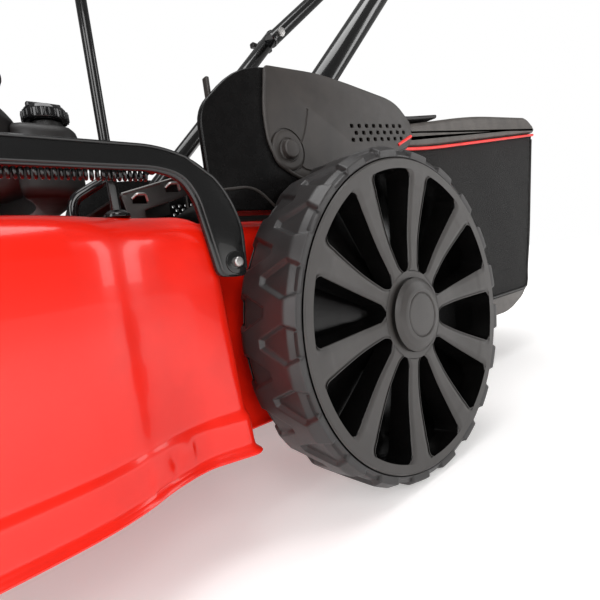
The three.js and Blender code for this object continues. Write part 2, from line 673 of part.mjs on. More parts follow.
// ---------- handlebars ----------
const alongUpper = (distance, x, off = 0) => [
  x,
  JOIN.y + distance * Math.cos(UPPER_ANGLE) - off * Math.sin(UPPER_ANGLE),
  JOIN.z + distance * Math.sin(UPPER_ANGLE) + off * Math.cos(UPPER_ANGLE),
];

function makeLowerTube(side) {
  const run = new THREE.Vector2(JOIN.y - FOLD_PIVOT.y, JOIN.z - FOLD_PIVOT.z).normalize();
  const at = (base, d) => [side * LOWER_TUBE_X, base.y + d * run.x, base.z + d * run.y];
  const bar = tube([at(FOLD_PIVOT, -22), at(JOIN, 22)], 1, TUBE_RADIUS, 16, 2, TUBE_WALL);
  const bore = (p, r) => rod([side * 150, p.y, p.z], [side * 210, p.y, p.z], r, 12);
  return cut(bar, bore(FOLD_PIVOT, 5.4), bore(JOIN, 4.4));
}

function makeUpperBar() {
  const [x, top] = [UPPER_TUBE_X, UPPER_LENGTH];
  const route = [alongUpper(-22, -x), alongUpper(top, -x), alongUpper(top, x), alongUpper(-22, x)];
  const bar = tube(route, 60, TUBE_RADIUS, 10, 30, TUBE_WALL);
  const bores = [-1, 1].map((s) => rod([s * 130, JOIN.y, JOIN.z], [s * 190, JOIN.y, JOIN.z], 4.4, 12));
  const bail = [-1, 1].map((s) => rod(alongUpper(BAIL_ALONG, s * 130), alongUpper(BAIL_ALONG, s * 180), BAIL_RADIUS + GAP, 12));
  return cut(bar, ...bores, ...bail);
}

function makeHandleGrip() {
  const sleeve = rod(alongUpper(UPPER_LENGTH, -78), alongUpper(UPPER_LENGTH, 78), 17, 20);
  return cut(sleeve, rod(alongUpper(UPPER_LENGTH, -90), alongUpper(UPPER_LENGTH, 90), TUBE_RADIUS + GAP, 20));
}

// Wing knob and its bolt through both tubes.
function makeClampKnob(side) {
  const at = (x) => [side * x, JOIN.y, JOIN.z];
  const bolt = rod(at(137), at(196), 4, 12);
  const head = rod(at(136), at(141), 8, 6);
  const hub = rod(at(LOWER_TUBE_X + TUBE_RADIUS + GAP), at(206), 11, 14, 9);
  const wings = box(Math.min(side * 197, side * 208), Math.max(side * 197, side * 208),
    JOIN.y - 24, JOIN.y + 24, JOIN.z - 4, JOIN.z + 4);
  return join(bolt, head, hub, wings);
}

function makeBailLever() {
  const [x, pivotX] = [132, 150];
  const reach = BAIL_REACH * Math.cos(BAIL_OPEN);
  const rise = BAIL_REACH * Math.sin(BAIL_OPEN);
  const tip = (s) => alongUpper(BAIL_ALONG + reach, s * x, rise);
  const foot = (s) => alongUpper(BAIL_ALONG, s * x);
  const hooks = [-1, 1].map((s) => rod(alongUpper(BAIL_ALONG, s * x), alongUpper(BAIL_ALONG, s * pivotX), BAIL_RADIUS, 12));
  return join(tube([foot(-1), tip(-1), tip(1), foot(1)], 24, BAIL_RADIUS, 8, 28), ...hooks);
}

function makeStarterGrip() {
  const bar = rod([-34, -287, 393.5], [34, -287, 393.5], 9, 12);
  return join(bar, rod([0, -287, 393.5], [0, -297, 385.3], 7, 10));
}

// ---------- assembly ----------
const group = new THREE.Group();

function add(name, solid, material) {
  const mesh = new THREE.Mesh(geometryOf(solid), material);
  mesh.name = name;
  group.add(mesh);
}

const SIDES = { left: 1, right: -1 };

add("deck", makeDeck(), RED_PAINT);
add("front_trim", makeFrontTrim(), BLACK_PLASTIC);
add("discharge_tunnel", makeTunnel(), BLACK_PLASTIC);
add("tunnel_cover", makeTunnelCover(), GREY_STEEL);
add("crankcase", makeCrankcase(), ALUMINIUM);
add("engine_cylinder", makeCylinder(), ALUMINIUM);
add("engine_shroud", makeShroud(), BLACK_PLASTIC);
add("starter_cover", makeStarterCover(), GREY_PLASTIC);
add("fuel_tank", makeFuelTank(), BLACK_PLASTIC);
add("fuel_cap", makeFuelCap(), GLOSS_PLASTIC);
add("muffler", makeMuffler(), GREY_STEEL);
add("muffler_guard", makeMufflerGuard(), BLACK_PAINT);
add("air_filter_cover", makeAirFilter(), BLACK_PLASTIC);
add("carburettor", makeCarburettor(), ALUMINIUM);
add("spark_plug_boot", makeSparkPlug(), RUBBER);
add("oil_filler", makeOilFiller(), BLACK_PLASTIC);
add("breather_pipe", makeBreatherPipe(), GLOSS_PLASTIC);
add("starter_grip", makeStarterGrip(), BLACK_PLASTIC);
add("crankshaft", makeCrankshaft(), GREY_STEEL);
add("blade", makeBlade(), GREY_STEEL);
add("blade_bolt", makeBladeBolt(), GREY_STEEL);
add("rear_axle", makeCrank(REAR_PIVOT, REAR_AXLE_Y, REAR_RADIUS, CRANK_X, STUB_RADIUS), GREY_STEEL);
add("front_axle", makeCrank(FRONT_PIVOT, FRONT_AXLE_Y, FRONT_RADIUS, FRONT_CRANK_X, STUB_RADIUS), GREY_STEEL);

for (const [word, side] of Object.entries(SIDES)) {
  add("rear_tyre_" + word, makeTyre(REAR_RADIUS, TYRE_WIDTH, REAR_AXLE_Y, side, 30), RUBBER);
  add("rear_wheel_" + word, makeDisc(REAR_RADIUS, TYRE_WIDTH, REAR_AXLE_Y, side, 30), GREY_PLASTIC);
  add("rear_hub_cap_" + word, makeHubCap(REAR_RADIUS, REAR_AXLE_Y, side), GREY_PLASTIC);
  add("front_tyre_" + word, makeTyre(FRONT_RADIUS, FRONT_TYRE_WIDTH, FRONT_AXLE_Y, side, 30), RUBBER);
  add("front_wheel_" + word, makeDisc(FRONT_RADIUS, FRONT_TYRE_WIDTH, FRONT_AXLE_Y, side, 30), GREY_PLASTIC);
  add("front_hub_cap_" + word, makeHubCap(FRONT_RADIUS, FRONT_AXLE_Y, side), GREY_PLASTIC);
  add("rear_bush_" + word, makeBush(side), BLACK_PLASTIC);
  add("rear_housing_" + word, makeCheek(side), BLACK_PLASTIC);
  add("fold_bolt_" + word, makeFoldBolt(side), GLOSS_PLASTIC);
  add("lower_handlebar_" + word, makeLowerTube(side), BLACK_PAINT);
  add("clamp_knob_" + word, makeClampKnob(side), BLACK_PLASTIC);
}

add("side_handle", makeSideHandle(), BLACK_PAINT);
add("height_spring", makeSpring(), BLACK_PAINT);
add("height_quadrant", makeQuadrant(), BLACK_PAINT);
add("latch_rod", makeLatchRod(), BLACK_PAINT);
add("latch_knob", makeLatchKnob(), GLOSS_PLASTIC);
add("rear_flap", makeFlap(), BLACK_PLASTIC);
add("flap_rod", makeFlapRod(), GREY_STEEL);
add("bag_fabric", makeBagFabric(), FABRIC);
add("bag_lid", makeBagLid(), GREY_PLASTIC);
add("bag_tray", makeBagTray(), GREY_PLASTIC);
add("bag_frame", makeBagFrame(), BLACK_PAINT);
add("bag_handle", makeBagHandle(), BLACK_PLASTIC);
add("upper_handlebar", makeUpperBar(), BLACK_PAINT);
add("handle_grip", makeHandleGrip(), FOAM);
add("bail_lever", makeBailLever(), BLACK_PAINT);

export default group;
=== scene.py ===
"""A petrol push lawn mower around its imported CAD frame: fine meshes, materials, light and camera."""

import math

import bmesh
import bpy
import numpy as np
from mathutils import Matrix, Vector


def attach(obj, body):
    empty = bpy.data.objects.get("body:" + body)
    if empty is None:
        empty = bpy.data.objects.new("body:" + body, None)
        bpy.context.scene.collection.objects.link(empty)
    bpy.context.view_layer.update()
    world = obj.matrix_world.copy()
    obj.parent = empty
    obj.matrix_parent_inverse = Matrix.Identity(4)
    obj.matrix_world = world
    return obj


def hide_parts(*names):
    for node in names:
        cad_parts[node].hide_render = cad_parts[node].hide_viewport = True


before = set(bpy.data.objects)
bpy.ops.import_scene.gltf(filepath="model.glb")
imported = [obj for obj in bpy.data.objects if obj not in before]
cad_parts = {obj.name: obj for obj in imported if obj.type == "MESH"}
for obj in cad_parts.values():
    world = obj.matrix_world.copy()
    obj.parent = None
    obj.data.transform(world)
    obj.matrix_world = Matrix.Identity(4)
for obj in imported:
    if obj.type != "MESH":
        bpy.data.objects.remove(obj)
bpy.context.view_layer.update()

MM = 0.001
WELD_DISTANCE = 1e-6
LEFT, RIGHT = 1, -1
SIDES = {"left": LEFT, "right": RIGHT}

# ---------- sizes shared with the CAD model, in millimetres ----------
WHEEL_OUTER_X = 270
REAR_WHEEL = {"radius": 141, "width": 66, "y": -50, "pockets": 20, "end": "rear"}
FRONT_WHEEL = {"radius": 100, "width": 50, "y": -600, "pockets": 16, "end": "front"}
BLADE_Y = -385
DECK_RADIUS = 246
DECK_REAR_X = 186
DECK_REAR_Y = 6
DECK_BOTTOM = 72
DECK_TOP = 240
SHOULDER = 25
SLOTS = 10
WHEEL_TURN = math.radians(-10.7)
FOLD = (-111, 292)
JOIN = (215, 630)
UPPER_ANGLE = math.radians(40)
UPPER_LENGTH = 611
BAIL_ALONG = 481
SKIRT_FLARE = 9
FLARE_TOP = 190
HANDLE_PIVOT = (-200, 203)
HANDLE_CATCH = (-505, 219)
LATCH_AT = (200, -260)
LOWER_TUBE_X = 180
UPPER_TUBE_X = 154
TUBE_RADIUS = 12.5
BAG_HALF_WIDTH = 158.5


# ---------- camera ----------
def add_camera():
    yaw, pitch, roll = math.radians(49.52), math.radians(4.15), math.radians(8)
    look = Vector((-math.sin(yaw) * math.cos(pitch), math.cos(yaw) * math.cos(pitch), -math.sin(pitch)))
    level = Vector((math.cos(yaw), math.sin(yaw), 0))
    over = level.cross(look)
    right = level * math.cos(roll) - over * math.sin(roll)
    up = level * math.sin(roll) + over * math.cos(roll)
    data = bpy.data.cameras.new("photo_camera")
    data.sensor_width = 36
    data.lens = 26.34
    data.clip_start = 0.01
    camera = bpy.data.objects.new("photo_camera", data)
    place = Matrix((right, up, -look)).transposed().to_4x4()
    place.translation = Vector((0.4825, -0.361, 0.1934))
    camera.matrix_world = place
    bpy.context.scene.collection.objects.link(camera)
    bpy.context.scene.camera = camera


add_camera()


# ---------- materials ----------
class Shader:
    """A node material with short calls for the nodes used here."""

    def __init__(self, name):
        self.material = bpy.data.materials.new(name)
        self.material.use_nodes = True
        self.nodes = self.material.node_tree.nodes
        self.links = self.material.node_tree.links
        self.surface = self.nodes["Principled BSDF"]
        self.place = self.nodes.new("ShaderNodeTexCoord").outputs["Object"]

    def noise(self, scale, detail=4.0, rough=0.5, stretch=None):
        node = self.nodes.new("ShaderNodeTexNoise")
        node.inputs["Scale"].default_value = scale
        node.inputs["Detail"].default_value = detail
        node.inputs["Roughness"].default_value = rough
        self.links.new(self.mapped(stretch), node.inputs["Vector"])
        return node.outputs["Fac"]

    def mapped(self, stretch):
        if stretch is None:
            return self.place
        node = self.nodes.new("ShaderNodeMapping")
        node.inputs["Scale"].default_value = stretch
        self.links.new(self.place, node.inputs["Vector"])
        return node.outputs["Vector"]

    def wave(self, scale, direction):
        node = self.nodes.new("ShaderNodeTexWave")
        node.bands_direction = direction
        node.inputs["Scale"].default_value = scale
        node.inputs["Distortion"].default_value = 0.0
        self.links.new(self.place, node.inputs["Vector"])
        return node.outputs["Fac"]

    def ramp(self, factor, low, high, start=0.3, stop=0.7):
        node = self.nodes.new("ShaderNodeValToRGB")
        node.color_ramp.elements[0].position = start
        node.color_ramp.elements[1].position = stop
        node.color_ramp.elements[0].color = low
        node.color_ramp.elements[1].color = high
        self.links.new(factor, node.inputs["Fac"])
        return node.outputs["Color"]

    def spread(self, factor, low, high):
        node = self.nodes.new("ShaderNodeMapRange")
        node.inputs["To Min"].default_value = low
        node.inputs["To Max"].default_value = high
        self.links.new(factor, node.inputs["Value"])
        return node.outputs["Result"]

    def math(self, operation, a, b):
        node = self.nodes.new("ShaderNodeMath")
        node.operation = operation
        self.links.new(a, node.inputs[0])
        if isinstance(b, float):
            node.inputs[1].default_value = b
        else:
            self.links.new(b, node.inputs[1])
        return node.outputs["Value"]

    def bump(self, height, distance, strength=1.0, under=None):
        node = self.nodes.new("ShaderNodeBump")
        node.inputs["Distance"].default_value = distance
        node.inputs["Strength"].default_value = strength
        self.links.new(height, node.inputs["Height"])
        if under is not None:
            self.links.new(under, node.inputs["Normal"])
        return node.outputs["Normal"]

    def set(self, **values):
        for name, value in values.items():
            socket = self.surface.inputs[name.replace("_", " ")]
            if isinstance(value, bpy.types.NodeSocket):
                self.links.new(value, socket)
            else:
                socket.default_value = value
        return self


def tone(colour, factor=1.0):
    return (*(min(1.0, c * factor) for c in colour), 1.0)


def grained(name, colour, rough, grain=1400, depth=0.00012, metal=0.0, spread=0.25, shine=0.5):
    """Moulded or cast surface: fine grain, patchy colour and uneven shine."""
    s = Shader(name)
    patches = s.noise(45, 5)
    fine = s.noise(grain, 3, 0.6)
    s.set(Base_Color=s.ramp(patches, tone(colour, 1 - spread), tone(colour, 1 + spread)))
    s.set(Roughness=s.spread(s.noise(120, 4), rough - 0.07, rough + 0.09))
    s.set(Normal=s.bump(fine, depth, 0.5), Metallic=metal, Specular_IOR_Level=shine)
    return s.material


def enamel(name, colour, rough, coat, peel=0.00003):
    """Sprayed paint with orange peel under a clear gloss."""
    s = Shader(name)
    s.set(Base_Color=s.ramp(s.noise(30, 3), tone(colour, 0.93), tone(colour, 1.06)))
    s.set(Roughness=s.spread(s.noise(90, 3), rough, rough + 0.05), Specular_IOR_Level=0.35)
    s.set(Normal=s.bump(s.noise(240, 1), peel, 0.4), Coat_Weight=coat, Coat_Roughness=0.03)
    return s.material


def metal(name, colour, rough, stretch):
    """Bare or plated metal with drawn streaks."""
    s = Shader(name)
    streaks = s.noise(90, 6, 0.6, stretch)
    s.set(Base_Color=s.ramp(s.noise(25, 4), tone(colour, 0.75), tone(colour, 1.2)), Metallic=0.9)
    s.set(Roughness=s.spread(streaks, rough - 0.1, rough + 0.14), Normal=s.bump(streaks, 0.00008, 0.4))
    return s.material


def woven(name, colour, threads=760):
    """Plain woven cloth: crossed threads and lint."""
    s = Shader(name)
    one = s.wave(threads, "Y")
    two = s.wave(threads, "Z")
    weave = s.math("MULTIPLY", one, two)
    lint = s.noise(160, 6, 0.7)
    s.set(Base_Color=s.ramp(s.math("MULTIPLY", weave, lint), tone(colour, 0.55), tone(colour, 2.6), 0.0,
                            0.6))
    s.set(Roughness=0.86, Normal=s.bump(weave, 0.0004, 0.8, s.bump(lint, 0.0006, 0.4)), Sheen_Weight=0.06,
          Specular_IOR_Level=0.25)
    return s.material


RED = enamel("red_enamel", (0.75, 0.012, 0.0035), 0.2, 0.24)
BLACK = enamel("black_enamel", (0.004, 0.004, 0.004), 0.16, 0.4)
GLOSS = enamel("black_gloss_plastic", (0.006, 0.006, 0.0065), 0.1, 0.3, 0.00003)
MATT = grained("black_plastic", (0.011, 0.0102, 0.0098), 0.45, shine=0.4)
# Near-black copy of the housing plastic with little shine: painted shade on the rear housing's cheek.
HOUSING_PAINTED_SHADE = grained("housing_plastic_painted_shade", (0.0025, 0.0022, 0.0022), 0.26, shine=0.2)
HOUSING = grained("housing_plastic", (0.024, 0.0198, 0.0175), 0.46)
WHEEL = grained("wheel_plastic", (0.032, 0.0285, 0.0265), 0.42, 1700, 0.00007, spread=0.1)
GREY = grained("grey_plastic", (0.06, 0.052, 0.046), 0.5)
# Same wheel plastic with a glossier finish, but near-black in colour: painted shade for the pocket walls and
# the inner wall.
POCKET_SHADE = grained("wheel_pocket_painted_shade", (0.0028, 0.0026, 0.0025), 0.17, 1500, 0.00002, shine=0.28)
TYRE = grained("tyre_rubber", (0.019, 0.0172, 0.0172), 0.4, 1100, 0.00016, spread=0.2)
BOOT = grained("boot_rubber", (0.02, 0.02, 0.02), 0.6)
FOAM = grained("foam_sleeve", (0.012, 0.012, 0.012), 0.9, 900, 0.0006)
CAST = grained("cast_aluminium", (0.36, 0.36, 0.37), 0.42, 700, 0.0003, metal=0.9)
STEEL = metal("plated_steel", (0.42, 0.41, 0.4), 0.34, (1, 12, 1))
SHEET = metal("sheet_steel", (0.11, 0.105, 0.102), 0.34, (1, 1, 14))
CLOTH = woven("bag_cloth", (0.0045, 0.004, 0.0038))
PIPING = grained("red_piping", (0.78, 0.02, 0.015), 0.42, 600)


# ---------- mesh helpers ----------
def soften(points, radius, steps=4, closed=True):
    """Rounds the corners of a 2-D or 3-D outline. radius is one number, or one for each corner."""
    out = []
    count = len(points)
    radii = radius if isinstance(radius, (list, tuple)) else [radius] * count
    for i, p in enumerate(points):
        here = np.array(p, float)
        if radii[i] <= 0 or (not closed and i in (0, count - 1)):
            out.append(here)
            continue
        before = np.array(points[i - 1], float) - here
        after = np.array(points[(i + 1) % count], float) - here
        reach = min(radii[i], 0.49 * np.linalg.norm(before), 0.49 * np.linalg.norm(after))
        enter = here + before / np.linalg.norm(before) * reach
        leave = here + after / np.linalg.norm(after) * reach
        for k in range(steps + 1):
            t = k / steps
            out.append((1 - t) ** 2 * enter + 2 * t * (1 - t) * here + t * t * leave)
    return out


def strips(rows, columns, wrap_rows=False, wrap_columns=True):
    """Faces of a grid of rows x columns points."""
    faces = []
    for i in range(rows if wrap_rows else rows - 1):
        for j in range(columns if wrap_columns else columns - 1):
            a, b = i * columns + j, i * columns + (j + 1) % columns
            c, d = (i + 1) % rows * columns + (j + 1) % columns, (i + 1) % rows * columns + j
            faces.append((a, b, c, d))
    return faces


def turn(profile, at, axis="X", side=1, segments=64, round_edges=0.0):
    """A profile of (radius, height) turned round an axis; heights run outwards on the given side."""
    closed = tuple(profile[0]) == tuple(profile[-1])
    outline = profile[:-1] if closed else profile
    if round_edges:
        outline = soften(outline, round_edges, 3, closed)
    angles = np.arange(segments) * 2 * math.pi / segments
    rows = []
    for r, h in outline:
        ring = np.zeros((segments, 3))
        if axis == "X":
            ring[:, 0] = side * (at[0] + h)
            ring[:, 1] = at[1] + r * np.cos(angles)
            ring[:, 2] = at[2] + r * np.sin(angles)
        else:
            ring[:, 0] = at[0] + r * np.cos(angles)
            ring[:, 1] = at[1] + r * np.sin(angles)
            ring[:, 2] = at[2] + h
        rows.append(ring)
    return np.vstack(rows), strips(len(rows), segments, wrap_rows=closed)


def offset(outline, distance):
    """Moves a closed anticlockwise 2-D outline inwards."""
    p = np.array(outline, float)
    ahead = np.roll(p, -1, 0) - p
    ahead /= np.linalg.norm(ahead, axis=1)[:, None]
    behind = np.roll(ahead, 1, 0)
    n0 = np.stack([-behind[:, 1], behind[:, 0]], 1)
    n1 = np.stack([-ahead[:, 1], ahead[:, 0]], 1)
    mitre = n0 + n1
    mitre /= np.maximum(np.linalg.norm(mitre, axis=1), 1e-6)[:, None]
    return p + mitre * (distance / np.maximum((mitre * n0).sum(1), 0.5))[:, None]


def anticlockwise(outline):
    p = np.array(outline, float)
    q = np.roll(p, -1, 0)
    area = (p[:, 0] * q[:, 1] - q[:, 0] * p[:, 1]).sum()
    return p if area > 0 else p[::-1]


def plate(outline, low, high, edge=0.8, axis="X", corner=0.0):
    """An outline in (y, z), (x, z) or (x, y) given thickness along X, Y or Z, with rounded edges."""
    if corner:
        outline = soften(outline, corner)
    flat = anticlockwise(outline)
    edge = min(edge, (high - low) / 2 * 0.98)
    steps = 3
    levels = []
    for k in range(steps + 1):
        a = math.pi / 2 * k / steps
        levels.append((edge * (1 - math.sin(a)), low + edge * (1 - math.cos(a))))
    levels += [(inset, high + low - h) for inset, h in reversed(levels)]
    rows = []
    for inset, h in levels:
        ring = offset(flat, inset)
        level = np.full(len(ring), h)
        order = {"X": (level, ring[:, 0], ring[:, 1]), "Y": (ring[:, 0], level, ring[:, 1]),
                 "Z": (ring[:, 0], ring[:, 1], level)}[axis]
        rows.append(np.stack(order, 1))
    n = len(flat)
    faces = strips(len(rows), n)
    faces.append(tuple(reversed(range(n))))
    faces.append(tuple(range((len(rows) - 1) * n, len(rows) * n)))
    return np.vstack(rows), faces


def block(x0, x1, y0, y1, z0, z1, corner=1.5, edge=0.8):
    return plate([(x0, y0), (x1, y0), (x1, y1), (x0, y1)], z0, z1, edge, "Z", corner)


def sweep(points, radius, sides=16, section=None, cap=True):
    """A round bar, or another closed section, along a list of 3-D points."""
    p = np.array(points, float)
    keep = [0] + [i for i in range(1, len(p)) if np.linalg.norm(p[i] - p[i - 1]) > 1e-4]
    p = p[keep]
    tangent = np.gradient(p, axis=0)
    tangent /= np.linalg.norm(tangent, axis=1)[:, None]
    first = np.cross(tangent[0], (1.0, 0.0, 0.0))
    if np.linalg.norm(first) < 0.3:
        first = np.cross(tangent[0], (0.0, 0.0, 1.0))
    normal = first / np.linalg.norm(first)
    if section is None:
        a = np.arange(sides) * 2 * math.pi / sides
        section = np.stack([np.cos(a), np.sin(a)], 1)
    radii = np.full(len(p), float(radius)) if np.isscalar(radius) else np.array(radius, float)
    rows = []
    for i, t in enumerate(tangent):
        normal = normal - t * normal.dot(t)
        normal /= np.linalg.norm(normal)
        across = np.cross(t, normal)
        rows.append(p[i] + radii[i] * (section[:, :1] * normal + section[:, 1:] * across))
    n = len(section)
    faces = strips(len(rows), n)
    if cap:
        faces.append(tuple(reversed(range(n))))
        faces.append(tuple(range((len(rows) - 1) * n, len(rows) * n)))
    return np.vstack(rows), faces


def bent(points, bend, steps=8):
    return soften(points, bend, steps, closed=False)


def rod(a, b, radius, sides=24, edge=0.6):
    """A straight round bar with softened ends."""
    a, b = np.array(a, float), np.array(b, float)
    along = (b - a) / np.linalg.norm(b - a)
    edge = min(edge, radius * 0.5)
    stops = [a, a + along * edge * 0.3, a + along * edge, b - along * edge, b - along * edge * 0.3, b]
    radii = [radius - edge, radius - edge * 0.3, radius, radius, radius - edge * 0.3, radius - edge]
    return sweep(stops, radii, sides)


def spun(shape, angle, x, y):
    """A shape turned about Z through the origin, then moved to (x, y)."""
    verts, faces = shape
    c, s = math.cos(angle), math.sin(angle)
    moved = verts.copy()
    moved[:, 0] = x + verts[:, 0] * c - verts[:, 1] * s
    moved[:, 1] = y + verts[:, 0] * s + verts[:, 1] * c
    return moved, faces


def merged(*shapes):
    verts, faces, base = [], [], 0
    for v, f in shapes:
        verts.append(v)
        faces += [tuple(i + base for i in face) for face in f]
        base += len(v)
    return np.vstack(verts), faces


def closed_object(name, shape, material):
    """A linked mesh object from points in millimetres, welded, with its normals outwards."""
    verts, faces = shape
    mesh = bpy.data.meshes.new(name)
    mesh.from_pydata((np.asarray(verts) * MM).tolist(), [], faces)
    work = bmesh.new()
    work.from_mesh(mesh)
    bmesh.ops.remove_doubles(work, verts=work.verts, dist=WELD_DISTANCE)
    bmesh.ops.recalc_face_normals(work, faces=work.faces)
    work.to_mesh(mesh)
    work.free()
    mesh.materials.append(material)
    obj = bpy.data.objects.new(name, mesh)
    bpy.context.scene.collection.objects.link(obj)
    return obj


def build(name, shape, material, body="chassis", replaced=(), angle=34):
    """Makes a piece that rides on a CAD body and hides the CAD parts it replaces."""
    obj = closed_object(name, shape, material)
    shade(obj.data, angle)
    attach(obj, body)
    if replaced:
        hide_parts(*([replaced] if isinstance(replaced, str) else replaced))
    return obj


def shade(mesh, angle):
    mesh.shade_smooth()
    mesh.set_sharp_from_angle(angle=math.radians(angle))


def carve(obj, *shapes, angle=34):
    """Cuts closed shapes out of a piece."""
    for shape in shapes:
        cutter = closed_object("cutter", shape, obj.data.materials[0])
        mesh = cutter.data
        step = obj.modifiers.new("carve", "BOOLEAN")
        step.object = cutter
        step.solver = "EXACT"
        bpy.context.view_layer.update()
        result = bpy.data.meshes.new_from_object(obj.evaluated_get(bpy.context.evaluated_depsgraph_get()))
        obj.modifiers.clear()
        obj.data = result
        bpy.data.objects.remove(cutter)
        bpy.data.meshes.remove(mesh)
    shade(obj.data, angle)
    return obj


def finish_node(node, material, width=0.7, angle=36):
    """Keeps a CAD node's own shape, with softened edges and a better material."""
    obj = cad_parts[node]
    obj.data.materials.clear()
    obj.data.materials.append(material)
    shade(obj.data, 180)
    weld = obj.modifiers.new("weld", "WELD")
    weld.merge_threshold = 1e-5
    if width:
        bevel = obj.modifiers.new("bevel", "BEVEL")
        bevel.width = width * MM
        bevel.segments = 2
        bevel.limit_method = "ANGLE"
        bevel.angle_limit = math.radians(angle)
    split = obj.modifiers.new("split", "EDGE_SPLIT")
    split.split_angle = math.radians(angle)


# ---------- wheels ----------
def smooth_step(t):
    t = np.clip(t, 0, 1)
    return t * t * (3 - 2 * t)


def inside_polygon(u, v, corners):
    """Signed distance to a convex anticlockwise polygon, negative inside."""
    best = np.full(u.shape, -1e9)
    for i, (a, b) in enumerate(corners):
        c, d = corners[(i + 1) % len(corners)]
        length = math.hypot(c - a, d - b)
        best = np.maximum(best, ((d - b) * (u - a) - (c - a) * (v - b)) / length)
    return best


def make_tyre(wheel, side, word, around, across):
    """Tyre with five-sided pockets pressed into both shoulders."""
    radius, width, scale = wheel["radius"], wheel["width"], wheel["radius"] / 141
    bead, edge = radius * 0.922, radius * 0.9225 + 6.0 * scale
    crown = [(edge, -0.6), (radius, -9 * scale), (radius, -width + 9 * scale), (edge, -width + 0.6)]
    outline = [(bead, -2.5), (bead + 0.6, -1.6)] + crown + [(bead + 0.6, -width + 1.6),
                                                            (bead, -width + 2.5)]
    outline = soften(outline, [0, 0.3, 0.8, 2.0, 2.0, 0.8, 0.3, 0], 4, False)
    p = np.array(outline)
    length = np.concatenate([[0], np.cumsum(np.linalg.norm(np.diff(p, axis=0), axis=1))])
    start, stop = length[6], length[-7]
    fine = np.linspace(start, stop, across)
    stations = np.concatenate([length[:6], fine, length[-6:]])
    r = np.interp(stations, length, p[:, 0])
    x = np.interp(stations, length, p[:, 1])
    normal = np.stack([-np.gradient(x), np.gradient(r)], 1)
    normal /= np.linalg.norm(normal, axis=1)[:, None]
    normal *= np.sign((normal[:, 0] * (r - bead + 5)).sum())
    angles = np.arange(around) * 2 * math.pi / around
    pitch = 2 * math.pi / wheel["pockets"]
    depth = np.zeros((len(stations), around))
    corners = [(10, -3), (14.3, 10.5), (14.3, 13), (3.6, 38), (-3.6, 38), (-14.3, 13), (-14.3, 10.5),
               (-10, -3)]
    corners = [(a * scale, b * scale) for a, b in corners]
    for along, shift in ((stations - start, 0.5), (stop - stations, 0.0)):
        local = ((angles - WHEEL_TURN) / pitch - shift + 0.5) % 1 - 0.5
        u = local * pitch * radius
        uu, vv = np.meshgrid(u, along)
        shallow = np.where(vv < 0, 0, 1)
        depth += smooth_step(-inside_polygon(uu, vv, corners) / (3.0 * scale)) * 3.4 * scale * shallow
    rr = r[:, None] - depth * normal[:, 0][:, None]
    xx = x[:, None] - depth * normal[:, 1][:, None]
    verts = np.stack([side * (WHEEL_OUTER_X + xx), wheel["y"] + rr * np.cos(angles)[None, :],
                      radius + rr * np.sin(angles)[None, :]], 2).reshape(-1, 3)
    rows = len(stations)
    faces = strips(rows, around, wrap_rows=True)
    node = wheel["end"] + "_tyre_" + word
    build(node + "_tread", (verts, faces), TYRE, wheel["end"] + "_wheel_" + word, replaced=node, angle=180)


def dish(r, rim, hub):
    """Height of the wheel's face: slightly hollow between rim and hub, with a faint crease."""
    t = np.clip((r - hub) / (rim - hub), 0, 1)
    hollow = -6.5 + 6.2 * smooth_step((t - 0.25) / 0.75)
    crease = 0.35 * smooth_step((t - 0.74) / 0.03)
    return hollow + crease - 0.35


